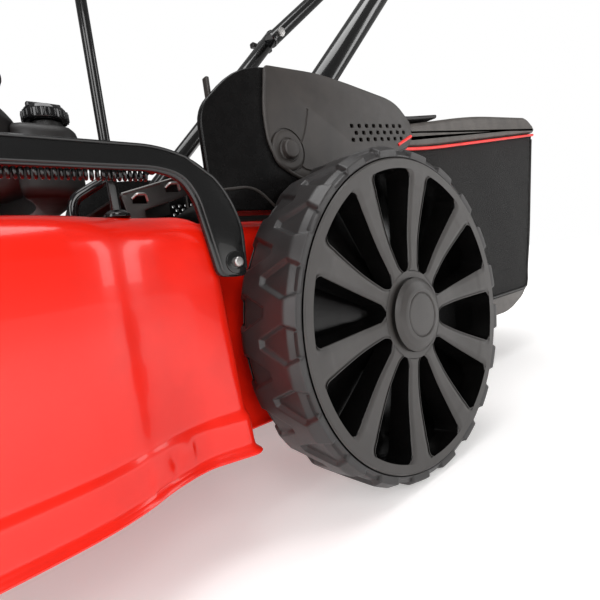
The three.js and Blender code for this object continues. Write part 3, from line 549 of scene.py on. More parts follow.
def make_disc(wheel, side, word):
    """Face with ten tapering pockets: spokes are lofts whose sides leave the pockets' outline."""
    radius, width, scale = wheel["radius"], wheel["width"], wheel["radius"] / 141
    rim, inner, outer = radius * 0.922 - 0.5, 37.0 * scale, 121.5 * scale
    stations = 56
    t = 0.5 - 0.5 * np.cos(np.linspace(0, math.pi, stations))
    r = inner + (outer - inner) * t
    tip = np.clip((r - inner) / (9 * scale), 0, 1)
    end = np.clip((outer - r) / (7 * scale), 0, 1)
    body = (4.5 + 20.5 * ((r - inner) / (outer - inner)) ** 0.86) * scale
    half_slot = body * np.sqrt(1 - (1 - tip) ** 2)
    lost = 7 * scale * (1 - np.sqrt(1 - (1 - end) ** 2))
    half_slot = np.where(end < 1, np.maximum(half_slot - lost, 0), half_slot)
    half_slot[0] = half_slot[-1] = 0
    slot_angle = np.arcsin(np.clip(half_slot / r, 0, 0.9))
    slot_angle[-1] = slot_angle[-2] * 0.86
    spoke_angle = math.pi / SLOTS - slot_angle
    edge = 1.6
    deep = -24.0 * scale
    bevel = [(edge * (1 - math.sin(a)), -edge * (1 - math.cos(a))) for a in np.linspace(math.pi / 2, 0, 5)]
    shapes = []
    for number in range(SLOTS):
        middle = (number + 0.5) * 2 * math.pi / SLOTS + WHEEL_TURN
        rows = []
        for k in range(stations):
            face = float(dish(r[k], rim, inner))
            points = []
            half = spoke_angle[k]
            flat = edge / r[k]
            draft = 2.0 / r[k]
            points.append((-half - draft, deep))
            for inset, drop in reversed(bevel):
                points.append((-half + inset / r[k], face + drop))
            for f in np.linspace(-1, 1, 9)[1:-1]:
                points.append((f * (half - flat), face))
            for inset, drop in bevel:
                points.append((half - inset / r[k], face + drop))
            points.append((half + draft, deep))
            a = middle + np.array([q[0] for q in points])
            h = np.array([q[1] for q in points])
            rows.append(np.stack([side * (WHEEL_OUTER_X + h), wheel["y"] + r[k] * np.cos(a),
                                  radius + r[k] * np.sin(a)], 1))
        shapes.append((np.vstack(rows), strips(stations, len(points), wrap_columns=True)))
    at = (WHEEL_OUTER_X, wheel["y"], radius)
    body_name = wheel["end"] + "_wheel_" + word
    node = wheel["end"] + "_wheel_" + word
    top = float(dish(outer, rim, inner))
    ring = [(outer - 0.3, top), (rim - 1.2, 0.0), (rim, -1.2), (rim, -width + 8), (rim - 4, -width + 8),
            (rim - 5, -20), (outer - 0.3, -20), (outer - 0.3, top)]
    low = float(dish(inner, rim, inner))
    collar = [(inner + 0.5, low), (31.5 * scale, low), (30.5 * scale, low - 2), (9, low - 2),
              (9, -width + 7),
              (20 * scale, -width + 7), (22 * scale, -22), (inner + 0.5, -22), (inner + 0.5, low)]
    shapes.append(turn(ring, at, "X", side, 180))
    shapes.append(turn(collar, at, "X", side, 96))
    face = build(node + "_face", merged(*shapes), WHEEL, body_name, replaced=node, angle=30)
    # Faces that sit deeper than the wheel's face get the near-black pocket material: painted shade in the
    # pockets.
    face.data.materials.append(POCKET_SHADE)
    normals = np.zeros(len(face.data.polygons) * 3)
    face.data.polygons.foreach_get("normal", normals)
    centres = np.zeros(len(face.data.polygons) * 3)
    face.data.polygons.foreach_get("center", centres)
    depth = (WHEEL_OUTER_X - side * centres.reshape(-1, 3)[:, 0] / MM)
    sides = ((np.abs(normals.reshape(-1, 3)[:, 0]) < 0.55) & (depth > 1.4)) | (depth > 9.5)
    face.data.polygons.foreach_set("material_index", sides.astype(np.int32))
    # Conical inner wall, seen through the pockets, in the near-black pocket material: painted shade.
    wall = [(16 * scale, -17 * scale), (60 * scale, -34 * scale), (rim - 6, -40 * scale),
            (rim - 5, -24 * scale),
            (rim - 4.6, -24 * scale), (rim - 4.6, -42 * scale), (60 * scale, -37 * scale),
            (16 * scale, -20 * scale),
            (16 * scale, -17 * scale)]
    build(node + "_inner", turn(wall, at, "X", side, 96), POCKET_SHADE, body_name)


def make_hub_cap(wheel, side, word):
    at = (WHEEL_OUTER_X, wheel["y"], wheel["radius"])
    s = wheel["radius"] / 141
    profile = [(0, -3.5), (31.2, -3.5), (31.0, -3.0), (27.5, -0.6), (22.5, 1.1), (19.2, 1.5), (18.6, 0.9),
               (18.2, 0.2),
               (17.6, 0.9), (16.5, 1.25), (0, 1.35)]
    profile = [(r * s if r > 0 else 0, h) for r, h in profile]
    node = wheel["end"] + "_hub_cap_" + word
    build(node + "_dome", turn(profile, at, "X", side, 96, 0.5), WHEEL, wheel["end"] + "_wheel_" + word,
          replaced=node, angle=60)


def make_wheels():
    for word, side in SIDES.items():
        near = side == LEFT
        make_tyre(REAR_WHEEL, side, word, 1200 if near else 640, 120 if near else 64)
        make_tyre(FRONT_WHEEL, side, word, 640, 64)
        for wheel in (REAR_WHEEL, FRONT_WHEEL):
            make_disc(wheel, side, word)
            make_hub_cap(wheel, side, word)


# ---------- deck ----------
def cubic(a, b, c, d, steps):
    a, b, c, d = (np.array(p, float) for p in (a, b, c, d))
    return [((1 - t) ** 3 * a + 3 * (1 - t) ** 2 * t * b + 3 * (1 - t) * t * t * c + t ** 3 * d)
            for t in np.linspace(0, 1, steps + 1)]


def deck_outline(inset, z):
    """Plan outline of the deck's wall at a height, moved inwards, with rounded corners."""
    flare = SKIRT_FLARE * min(1, (FLARE_TOP - min(z, FLARE_TOP)) / (FLARE_TOP - DECK_BOTTOM))
    side = [(DECK_REAR_X, DECK_REAR_Y), (DECK_REAR_X, -198), (221 + flare, -203), (221, -234), (222, -246),
            (227, -266),
            (236, -284), (240.5, -300)]
    radii = [12, 14, 9, 20, 10, 14, 14, 10]
    side += [tuple(p) for p in cubic((240.5, -300), (243.5, -312), (DECK_RADIUS, -345),
                                     (DECK_RADIUS, BLADE_Y), 16)[1:]]
    for a in np.linspace(0, math.pi / 2, 49)[1:]:
        side.append((DECK_RADIUS * math.cos(a), BLADE_Y - DECK_RADIUS * math.sin(a)))
    radii += [0] * (len(side) - len(radii))
    loop = side + [(-x, y) for x, y in side[:-1]][::-1]
    both = radii + radii[:-1][::-1]
    moved = offset(np.array(loop[::-1]), inset)
    return np.array(soften([tuple(p) for p in moved], both[::-1], 8))


def arc(radius, lift, inset, steps):
    angles = np.linspace(0, math.pi / 2, steps + 1)
    return [(lift + radius * math.sin(a), inset + radius * (1 - math.cos(a))) for a in angles]


def make_deck():
    levels = [(72.2, -3.4), (72.0, -4.4), (73.2, -5.0), (74.4, -4.6), (75.4, -3.2), (77.5, -2.0),
              (81, -1.8)]
    levels += [(z, -1.8) for z in (85, 90, 95)] + [(98, -1.6), (100.5, -0.6), (102.5, -0.1), (105, 0.0)]
    levels += [(z, 0.0) for z in np.linspace(109, 214, 30)] + arc(SHOULDER, DECK_TOP - SHOULDER, 0.0, 14)
    inner = [(72.2, 2.5)] + [(z, 3.0) for z in (74, 90, 130, 170, 190, 214)] + arc(SHOULDER - 3, 215, 3.0,
                                                                                   8)
    rows = []
    for z, inset in levels:
        ring = deck_outline(inset, z)
        rows.append(np.column_stack([ring, np.full(len(ring), z)]))
    wall = np.array(rows)
    # Two low pads pressed into the skirt ahead of the rear wheel.
    for y, z, wide, high in ((-270, 84.5, 8.5, 6.5), (-250, 88.5, 5.5, 6.5)):
        near = (np.abs((wall[:, :, 1] - y) / wide) ** 3 + np.abs((wall[:, :,
                                                                       2] - z) / high) ** 3) ** (1 / 3)
        wall[:, :, 0] += 1.5 * smooth_step((1.12 - near) / 0.34) * (wall[:, :, 0] > 0)
    n = wall.shape[1]
    outer = (wall.reshape(-1, 3), strips(len(levels),
                                         n) + [tuple(range((len(levels) - 1) * n, len(levels) * n))])
    under = np.vstack([np.column_stack([deck_outline(i, z), np.full(n, z)]) for z, i in inner])
    count = len(inner)
    inside = (under, strips(count, n) + [tuple(range((count - 1) * n, count * n))])
    verts, faces = merged(outer, inside)
    base = len(outer[0])
    faces += [(i, (i + 1) % n, base + (i + 1) % n, base + i) for i in range(n)]
    deck = build("deck_shell", (verts, faces), RED, replaced="deck", angle=40)
    throat = block(-140, 140, -150, 20, 100, 260, 4, 0.5)
    carve(deck, throat, rod((0, BLADE_Y, 200), (0, BLADE_Y, 260), 30, 48), angle=40)


def make_front_trim():
    body = plate([(-188, -670), (188, -670), (188, -596), (-188, -596)], 132, 236, 7, "Z", 26)
    trim = build("front_trim_cover", body, MATT, replaced="front_trim")
    room = turn([(0, 120), (DECK_RADIUS + 1.5, 120), (DECK_RADIUS + 1.5, 250), (0, 250)], (0, BLADE_Y, 0),
                "Z", 1, 160)
    carve(trim, room, block(-70, 70, -660, -634, 120, 222, 8, 3))
    for side in (-1, 1):
        x = sorted((side * 150, side * 170))
        lug = plate([(-668, 98), (-637, 98), (-637, 134), (-668, 134)], x[0], x[1], 1.5, "X", 8)
        build("front_lug_" + ("right" if side < 0 else "left"), lug, MATT)
    for k in range(7):
        x = -150 + 50 * k
        rib = block(x - 1.5, x + 1.5, -671.5, -668, 150, 222, 1, 0.8)
        build(f"front_rib_{k}", rib, MATT)


make_wheels()
make_deck()
make_front_trim()


# ---------- height adjustment ----------
def helix(start, stop, radius, wire, turns, steps=14, sides=8):
    """A coil spring along Y, as one round wire."""
    a, b = np.array(start, float), np.array(stop, float)
    count = int(turns * steps)
    points = []
    for k in range(count + 1):
        t = k / count
        angle = 2 * math.pi * turns * t
        centre = a + (b - a) * t
        points.append(centre + radius * np.array((math.cos(angle), 0, math.sin(angle))))
    return sweep(points, wire, sides)


def handle_outline():
    """Side view of the pressed side handle, in (y, z): a bar between two legs."""
    points = [(-192, 193), (-190, 226), (-196, 244), (-205, 258), (-219, 270), (-242, 277), (-463, 277),
              (-493, 252),
              (-513, 214), (-497, 212), (-479, 246), (-455, 263.6), (-244, 263.6), (-228, 259.5),
              (-219.5, 246),
              (-216, 228), (-210, 195)]
    radii = [5, 12, 12, 14, 18, 20, 26, 24, 4, 4, 18, 18, 12, 12, 12, 14, 5]
    return soften(points, radii, 6)


def make_side_handle():
    x0, x1 = 224, 234
    outline = handle_outline()
    web = plate(outline, x1 - 2.4, x1, 1.1)
    flat = anticlockwise(outline)
    lip = offset(flat, 2.0)
    rows = []
    for ring, x in ((flat, x1 - 1.1), (flat, x0), (lip, x0), (lip, x1 - 1.1)):
        rows.append(np.column_stack([np.full(len(ring), x), ring]))
    flange = (np.vstack(rows), strips(4, len(flat), wrap_rows=True))
    # Folded bead along the outer edge of the rear leg and the top of the bar.
    edge = offset(flat, 0.9)
    keep = [(x1 + 0.1, y, z) for y, z in edge if (y > -208 and z > 197) or (z > 270 and y > -460)]
    keep.sort(key=lambda p: (p[1] + 0.9 * (280 - p[2])))
    pin = rod((222, *HANDLE_PIVOT), (x1 + 1, *HANDLE_PIVOT), 5)
    washer = turn([(0, -0.2), (7.4, -0.2), (7.4, 0.9), (0, 0.9)], (x1, *HANDLE_PIVOT), "X", 1, 40, 0.3)
    catch = rod((x0 + 8, *HANDLE_CATCH), (243.6, *HANDLE_CATCH), 3.5)
    pegs = [rod((215, y, 266), (226, y, 266), 2.2, 16) for y in (-240, -472)]
    handle = merged(web, flange, sweep(keep, 1.0, 8), pin, washer, catch, *pegs)
    build("side_handle_pressing", handle, BLACK, "side_handle", replaced="side_handle", angle=40)
    stud = turn([(0, 0.9), (3.4, 0.9), (3.4, 4.6), (2.6, 5.4), (0, 5.4)], (x1, *HANDLE_PIVOT), "X", 1, 24,
                0.4)
    build("side_handle_stud", stud, STEEL, "side_handle")
    coil = helix((218.5, -243.5, 263), (218.5, -468.5, 263), 3.2, 1.05, 72)
    hooks = [sweep(bent([(218.5, y, 266.2), (218.5, y + d * 4, 264), (218.5, y + d * 6, 262)], 2), 1.0, 8)
             for y, d in ((-240, -1), (-472, 1))]
    build("height_spring_coil", merged(coil, *hooks), BLACK, "side_handle", replaced="height_spring")


def make_quadrant():
    x0, x1 = 236, 239
    plate_shape = plate([(-534, 214), (-500, 160), (-488, 160), (-488, 262), (-500, 276), (-534, 276)], x0,
                        x1, 0.6,
                        "X", 5)
    obj = build("height_quadrant_plate", plate_shape, BLACK, replaced="height_quadrant")
    back, rise = HANDLE_PIVOT[0] - HANDLE_CATCH[0], HANDLE_CATCH[1] - HANDLE_PIVOT[1]
    reach = math.hypot(back, rise)
    rest = math.atan2(rise, back)
    notches = []
    ends = []
    for step in range(-1, 5):
        a = rest + math.radians(2 * step)
        y, z = HANDLE_PIVOT[0] - reach * math.cos(a), HANDLE_PIVOT[1] + reach * math.sin(a)
        notches.append(rod((x0 - 2, y, z), (x1 + 2, y, z), 4.3, 24, 0.1))
        ends.append(z)
    track = block(x0 - 1, x1 + 1, -509, -495, min(ends), max(ends), 0.5, 0.3)
    carve(obj, track, *notches)
    arm = block(223, 239, -500, -490, 160, 172, 1.5, 1.0)
    build("height_quadrant_arm", arm, BLACK)


def make_latch():
    bar = rod((*LATCH_AT, 240.6), (*LATCH_AT, 402), 3.3, 24)
    build("latch_rod_bar", bar, BLACK, "latch", replaced="latch_rod")
    ball = [(0, 394), (9, 394.6), (11, 397), (13.6, 404), (13.8, 412), (11, 420), (6, 423.6), (0, 424)]
    build("latch_knob_ball", turn(ball, (*LATCH_AT, 0), "Z", 1, 48, 0.8), GLOSS, "latch",
          replaced="latch_knob", angle=60)
    build("latch_collar", turn([(3.6, 240.2), (8, 240.2), (8, 242.4), (5.2, 244.6), (3.6, 244.6),
                                (3.6, 240.2)], (*LATCH_AT, 0), "Z", 1, 40, 0.3), BLACK)


# ---------- rear housing ----------
def cheek_outline():
    points = [(-190, 243), (-190, 318), (-150, 356), (-60, 366), (50, 356), (77, 334), (73, 309), (20, 292),
              (-20, 243)]
    return soften(points, [4, 14, 26, 40, 22, 12, 12, 20, 12], 6)


def make_cheek(word, side):
    low, high = sorted((side * 193.5, side * 199.5))
    name = "rear_housing_" + word
    # The cheek panel is painted near-black as shade; only the raised facing keeps the lighter housing
    # plastic.
    cheek = build(name + "_panel", plate(cheek_outline(), low, high, 1.6), HOUSING_PAINTED_SHADE, replaced=name)
    front = [(-124, 360), (-131, 322), (-130, 296), (-121, 280), (-103, 270), (-60, 262), (-8, 263),
             (22, 294), (71, 311),
             (75, 333), (49, 354), (-60, 364)]
    near, far = sorted((side * 199.2, side * 201.4))
    facing = build(name + "_facing", plate(soften(front, [4, 14, 12, 12, 14, 10, 10, 14, 8, 8, 14, 20], 6),
                                           near, far, 1.3), HOUSING)
    cutters = [rod((side * 180, *FOLD), (side * 220, *FOLD), 5.4, 32, 0.1)]
    seat = rod((side * 200.1, *FOLD), (side * 206, *FOLD), 18.5, 64, 0.2)
    holes = []
    for row in range(3):
        for i in range(8):
            y = -26 + 11.2 * i + (5.6 if row == 1 else 0)
            z = 321 + 0.1 * (y + 26) - 6.6 * row
            hole = plate([(y - 2.6, z - 2), (y + 2.6, z - 2), (y + 2.6, z + 2), (y - 2.6, z + 2)],
                         min(low, high) - 2, max(low, high) + 2, 0.1, "X", 1.4)
            holes.append(hole)
    groove = sweep(bent([(side * 201.4, -82, 330), (side * 201.4, -89, 309), (side * 201.4, -104, 286),
                         (side * 201.4, -96, 277), (side * 201.4, -60, 272)], 8, 6), 1.1, 8)
    carve(cheek, *cutters, *holes)
    carve(facing, *cutters, *holes, groove, seat)
    # Raised rim round the folding bracket, a clip face and a stiffening fold.
    rim = bent([(side * 200.6, -124, 356), (side * 200.6, -131, 322), (side * 200.6, -130, 296),
                (side * 200.6, -121, 280),
                (side * 200.6, -103, 270), (side * 200.6, -62, 262)], 12, 8)
    fold = bent([(side * 199.6, -188, 258), (side * 199.6, -150, 262), (side * 199.6, -132, 246)], 14, 8)
    trim = merged(sweep(rim, 1.5, 12), sweep(fold, 1.2, 10))
    build(name + "_rim", trim, HOUSING)
    pad = [(side * 201.2, 46 + k * 1.25, 308.4 + k * 0.56) for k in range(21)]
    build(name + "_stripe", sweep(pad, 1.6, 12), PIPING)
    flange = block(*sorted((side * 175, side * 196)), -170, -24, 243, 247, 1.5, 0.8)
    lug = block(*sorted((side * 162, side * 196)), 22, 30, 335, 349.2, 1.5, 0.8)
    inner_rib = [block(*sorted((side * 188, side * 194)), y, y + 3, 250, 345, 1, 0.8) for y in (-176, -62,
                                                                                                -4)]
    build(name + "_fixings", merged(flange, lug, *inner_rib), HOUSING)


def make_fold_bolt(word, side):
    at = (199.9, *FOLD)
    washer = turn([(0, 0), (16.6, 0), (17, 0.6), (16.4, 2.2), (14.5, 2.8), (10.4, 2.8), (9.6, 2.0),
                   (8.9, 2.0),
                   (8.4, 2.8), (8.0, 2.8), (7.6, 7), (6.4, 7.8), (0, 8)], at, "X", side, 72, 0.25)
    shank = rod((side * 168.3, *FOLD), (side * 201, *FOLD), 5)
    build("fold_bolt_" + word + "_cap", merged(washer, shank), HOUSING, replaced="fold_bolt_" + word,
          angle=40)


def make_tunnel():
    finish_node("discharge_tunnel", MATT, 0.9)
    finish_node("tunnel_cover", SHEET, 0.25)
    hooks = []
    for side in (-1, 1):
        for y, z in ((-219, 264), (-190, 273), (-161, 281), (-132, 290)):
            x = side * 140.4
            route = bent([(x, y - 6, z + 1), (x + side * 3, y - 3, z + 4), (x + side * 3, y + 4, z + 4),
                          (x + side * 0.6, y + 6, z - 1)], 2)
            hooks.append(sweep(route, 1.1, 8))
    build("cover_hooks", merged(*hooks), STEEL)
    # Bright folded lip and ribs along the cover's upper sheet.
    ribs = []
    for y in (-216, -180, -144, -108):
        z = 268.8 + (y + 233) * 50 / 173
        ribs.append(sweep([(-132, y, z), (132, y, z + 0.1)], 1.6, 10))
    for side in (-1, 1):
        edge = [(side * 139, y, 268.2 + (y + 233) * 50 / 173) for y in np.linspace(-232, -61, 20)]
        ribs.append(sweep(edge, 1.4, 10))
    build("cover_ribs", merged(*ribs), SHEET)


# ---------- engine ----------
def engine_turn(name, profile, material, node, segments=96, soft=1.0):
    shape = turn(profile, (0, BLADE_Y, 0), "Z", 1, segments, soft)
    return build(name, shape, material, replaced=node)


def make_engine():
    case = [(0, 240.4), (98, 240.4), (98, 247), (88, 251), (88, 292), (70, 300), (0, 300)]
    engine_turn("crankcase_casting", case, CAST, "crankcase", soft=1.6)
    bolts = []
    for k in range(6):
        a = math.radians(30 + 60 * k)
        x, y = 93.5 * math.cos(a), BLADE_Y + 93.5 * math.sin(a)
        bolts.append(turn([(0, 246.8), (5, 246.8), (5, 250.6), (0, 250.6)], (x, y, 0), "Z", 1, 6, 0.4))
    build("crankcase_bolts", merged(*bolts), STEEL)
    ribs = []
    for k in range(18):
        a = 2 * math.pi * k / 18
        p = [(89 * math.cos(a), BLADE_Y + 89 * math.sin(a), z) for z in (253, 270, 289)]
        ribs.append(sweep(p, 1.6, 8))
    build("crankcase_ribs", merged(*ribs), CAST)
    finish_node("engine_cylinder", CAST, 0.5)
    shroud = [(60, 300.4), (117.4, 300.4), (118, 301.2), (118, 345), (115, 352), (111, 358), (100, 361.6),
              (84, 364),
              (82.5, 364), (82.5, 359), (108, 353), (113, 343), (113, 303.4), (60, 303.4), (60, 300.4)]
    cover = engine_turn("engine_shroud_shell", shroud, MATT, "engine_shroud", 144, 1.4)
    louvres = []
    for k in range(22):
        a = math.radians(200 + 6.4 * k)
        x, y = 117 * math.cos(a), BLADE_Y + 117 * math.sin(a)
        louvres.append(spun(block(-4, 4, -1.5, 1.5, 316, 340, 1.2, 0.3), a, x, y))
    carve(cover, merged(*louvres))
    band = turn([(118.2, 306), (119.6, 307), (119.6, 311), (118.2, 312), (117, 309), (118.2, 306)],
                (0, BLADE_Y, 0), "Z", 1,
                144, 0.4)
    build("engine_shroud_band", band, PIPING)
    dome = [(0, 392), (40, 391), (66, 384), (76, 366), (76, 362), (81.5, 362), (81.5, 372), (74, 388),
            (46, 397), (0, 399)]
    top = engine_turn("starter_cover_dome", dome, GREY, "starter_cover", 120, 2.5)
    slits = []
    for k in range(30):
        a = 2 * math.pi * k / 30
        slits.append(spun(block(26, 62, -1.3, 1.3, 378, 405, 1.1, 0.2), a, 0, BLADE_Y))
    carve(top, merged(*slits))
    socket = sweep([(0, -322, 365), (0, -318, 368), (0, -301, 382)], 13, 40)
    mouth = build("starter_socket", socket, GREY)
    carve(mouth, rod((0, -312, 373), (0, -295, 387), 5, 32, 0.2),
          rod((0, BLADE_Y, 340), (0, BLADE_Y, 361.8), 82, 64, 0.2))
    plate_top = turn([(0, 398.6), (17, 398.0), (17, 400.2), (15, 401), (0, 401)], (0, BLADE_Y, 0), "Z", 1,
                     64, 0.4)
    build("starter_badge_disc", plate_top, GLOSS)


def make_tank():
    tank = build("fuel_tank_body", plate([(-72, -290), (72, -290), (72, -232), (-72, -232)], 282, 344, 9,
                                         "Z", 20), MATT, replaced="fuel_tank")
    carve(tank, turn([(0, 270), (119.2, 270), (119.2, 350), (0, 350)], (0, BLADE_Y, 0), "Z", 1, 160))
    neck = turn([(0, 338), (13, 338), (13, 352), (0, 352)], (42, -252, 0), "Z", 1, 48, 1)
    seam = sweep(bent([(-73, -268, 313), (-73, -231, 313), (73, -231, 313), (73, -268, 313)], 18), 1.3, 8)
    build("fuel_tank_neck", merged(neck, seam), MATT)
    cap = [(0, 352.4), (17, 352.4), (18, 353.4), (18, 361), (16, 364.5), (12, 366), (0, 366.2)]
    ribs = [rod((42 + 18 * math.cos(a), -252 + 18 * math.sin(a), 353.6),
                (42 + 18 * math.cos(a), -252 + 18 * math.sin(a), 361),
                1.2, 10, 0.3) for a in np.linspace(0, 2 * math.pi, 25)[:-1]]
    grip = block(39, 45, -266, -238, 364, 370, 2, 1.2)
    build("fuel_cap_body", merged(turn(cap, (42, -252, 0), "Z", 1, 72, 0.6), grip, *ribs), GLOSS,
          "fuel_cap", replaced="fuel_cap")


def make_engine_fittings():
    can = plate([(54, -545), (116, -545), (116, -468), (54, -468)], 256, 296, 8, "Z", 18)
    seam = plate([(52.6, -546.4), (117.4, -546.4), (117.4, -466.6), (52.6, -466.6)], 275, 277.4, 0.8, "Z",
                 19)
    pipe = rod((46.4, -508, 274), (58, -508, 274), 9, 32)
    build("muffler_can", merged(can, seam, pipe), STEEL, replaced="muffler")
    finish_node("muffler_guard", BLACK, 0.4)
    box = plate([(-136, -535), (-72, -535), (-72, -440), (-136, -440)], 252, 299, 9, "Z", 16)
    step = plate([(-137.2, -536.2), (-70.8, -536.2), (-70.8, -438.8), (-137.2, -438.8)], 270, 273, 1.2, "Z",
                 17)
    fins = [block(-134, -74, y - 1, y + 1, 297, 301, 0.8, 0.6) for y in np.linspace(-520, -455, 8)]
    build("air_filter_box", merged(box, step, *fins), MATT, replaced="air_filter_cover")
    body = block(-69, -50.4, -516, -486, 266, 290, 3, 1.5)
    bowl = turn([(0, 252), (10, 253), (12, 258), (12, 267), (0, 267)], (-60, -501, 0), "Z", 1, 40, 0.8)
    throat = rod((-71.4, -501, 278), (-45.4, -501, 278), 10, 32)
    build("carburettor_body", merged(body, bowl, throat), CAST, replaced="carburettor")
    boot = sweep([(0, -541, 272), (0, -552, 272), (0, -560, 274), (0, -562, 282), (0, -560, 294)],
                 [9, 8.6, 8, 6.4, 5.4], 24)
    rings = [turn([(7.6, z), (8.4, z + 1), (7.6, z + 2), (7.6, z)], (0, -561, 0), "Z", 1, 32) for z in (280,
                                                                                                        284,
                                                                                                        288)]
    build("spark_plug_cover", merged(boot, *rings), BOOT, replaced="spark_plug_boot")
    neck = sweep([(-74, -307, 262), (-80, -296, 277), (-90, -277, 307), (-96, -266, 322)], 9, 32)
    stopper = sweep([(-96, -266, 322), (-96.4, -265.3, 323), (-100.4, -258, 334.8), (-101, -257, 336)],
                    [13, 14, 12.5, 11], 32)
    build("oil_filler_neck", merged(neck, stopper), MATT, replaced="oil_filler")
    # Bent gloss pipe with a collar at its foot, at the side of the tank.
    route = bent([(128, -266, 240.8), (128, -266, 266), (132, -242, 280), (132, -226, 290)], 9, 8)
    build("breather_pipe_tube", merged(sweep(route, 4, 20),
                                       turn([(4, 240.6), (7, 240.6), (7, 244), (4, 246), (4, 240.6)],
                                            (128, -266, 0), "Z", 1, 32, 0.3)), GLOSS,
                                            replaced="breather_pipe")
    grip_bar = rod((-34, -287, 393.5), (34, -287, 393.5), 8.8, 40, 4)
    stem = rod((0, -287, 393.5), (0, -297, 385.3), 6.8, 32)
    ridges = [turn([(8.6, x - 1.2), (9.3, x - 0.6), (9.3, x + 0.6), (8.6, x + 1.2), (8.6, x - 1.2)],
                   (0, -287, 393.5), "X", 1, 40,
                   0.2) for x in (-26, -20, -14, 14, 20, 26)]
    build("starter_grip_bar", merged(grip_bar, stem, *ridges), MATT, "starter_grip",
          replaced="starter_grip")


def make_running_gear():
    for node in ("rear_axle", "front_axle"):
        finish_node(node, STEEL, 0.6)
    for node in ("crankshaft", "blade", "blade_bolt", "flap_rod"):
        finish_node(node, STEEL, 0.4)
    for word in SIDES:
        finish_node("rear_bush_" + word, MATT, 1.2)


# ---------- bag ----------
def bag_sides():
    """Side outline of the cloth, from the mouth's foot round the back to the lid, in (y, z)."""
    points = [(42, 104.5), (440, 106), (444, 134), (470, 200), (496, 290), (521.5, 375)]
    return soften(points, [0, 12, 30, 60, 60, 0], 8, closed=False)


def make_bag():
    half = BAG_HALF_WIDTH
    spine = np.array(bag_sides())
    length = np.concatenate([[0], np.cumsum(np.linalg.norm(np.diff(spine, axis=0), axis=1))])
    rows_n, cols = 150, 90
    s = np.linspace(0, length[-1], rows_n)
    spine_y, spine_z = np.interp(s, length, spine[:, 0]), np.interp(s, length, spine[:, 1])
    # Floor and back panel; only the back bulges between its seams.
    normal = np.stack([np.gradient(spine_z), -np.gradient(spine_y)], 1)
    normal /= np.linalg.norm(normal, axis=1)[:, None]
    x = np.linspace(-half, half, cols)
    swell = (1 - (np.abs(x) / half) ** 2.4)
    u = s / length[-1]
    lift = np.sin(np.pi * np.clip((u - 0.52) / 0.48, 0, 1)) ** 0.8 * 7.0
    ripple = 0.8 * np.sin(x / 21.0)[None, :] * np.sin(s / 37.0)[:, None]
    grow = lift[:, None] * swell[None, :] + ripple * swell[None, :]
    back = np.stack([np.broadcast_to(x, (rows_n, cols)), spine_y[:, None] + normal[:, 0][:, None] * grow,
                     spine_z[:, None] + normal[:, 1][:, None] * grow], 2)
    shapes = [(back.reshape(-1, 3), strips(rows_n, cols, wrap_columns=False))]
    # Side panels: a point on the panel lies between the spine and the lid or mouth edge.
    top = np.array([(42, 316.5), (155, 324.6), (521.5, 375.5)])
    sides_n, ups = 120, 80
    for side in (-1, 1):
        v = np.linspace(0, 1, ups)
        y_low = np.linspace(42, 521.5, sides_n)
        z_top = np.interp(y_low, top[:, 0], top[:, 1])
        z_low = np.where(y_low <= 438, 104.5 + (y_low - 42) * 0.004,
                         np.interp(y_low, spine[:, 0], spine[:, 1]))
        yy = np.broadcast_to(y_low[:, None], (sides_n, ups))
        zz = z_low[:, None] + (z_top - z_low)[:, None] * v[None, :]
        inside = np.sin(np.pi * v)[None, :] * np.sin(np.pi * np.clip((y_low - 42) / 470, 0, 1))[:, None]
        sag = 3.4 * inside + 0.9 * np.sin(yy / 24 + zz / 55) * np.sqrt(np.clip(inside, 0, 1))
        sag += 0.6 * np.sin(zz / 15 - yy / 60) * np.clip(inside, 0, 1)
        panel = np.stack([side * (half + sag - 1.2), yy, zz], 2)
        shapes.append((panel.reshape(-1, 3), strips(sides_n, ups, wrap_columns=False)))
    cloth = build("bag_cloth_shell", merged(*shapes), CLOTH, "grass_bag", replaced="bag_fabric", angle=50)
    thick = cloth.modifiers.new("thickness", "SOLIDIFY")
    thick.thickness = 0.0012
    thick.offset = -1
    # Seams along the side panels' edges, where they meet the floor, back and mouth.
    seams = []
    for side in (-1, 1):
        xs = side * (half - 0.3)
        seams.append(sweep([(xs, y, z) for y, z in zip(spine_y[::3], spine_z[::3])], 1.8, 10))
        front = [(xs, 43, z) for z in np.linspace(106, 316, 30)]
        seams.append(sweep(front, 1.8, 10))
    build("bag_seams", merged(*seams), MATT, "grass_bag")
    piping = []
    for side in (-1, 1):
        xs = side * (half + 2.2)
        route = [(xs, 40, 315.6), (xs, 156, 323.4), (xs, 340, 349), (xs, 522, 374.4)]
        piping.append(sweep(soften(route, [0, 60, 60, 0], 8, closed=False), 2.1, 14))
    piping.append(sweep([(-half - 2, 524.5, 374.6), (half + 2, 524.5, 374.6)], 2.0, 14))
    build("bag_piping", merged(*piping), PIPING, "grass_bag")


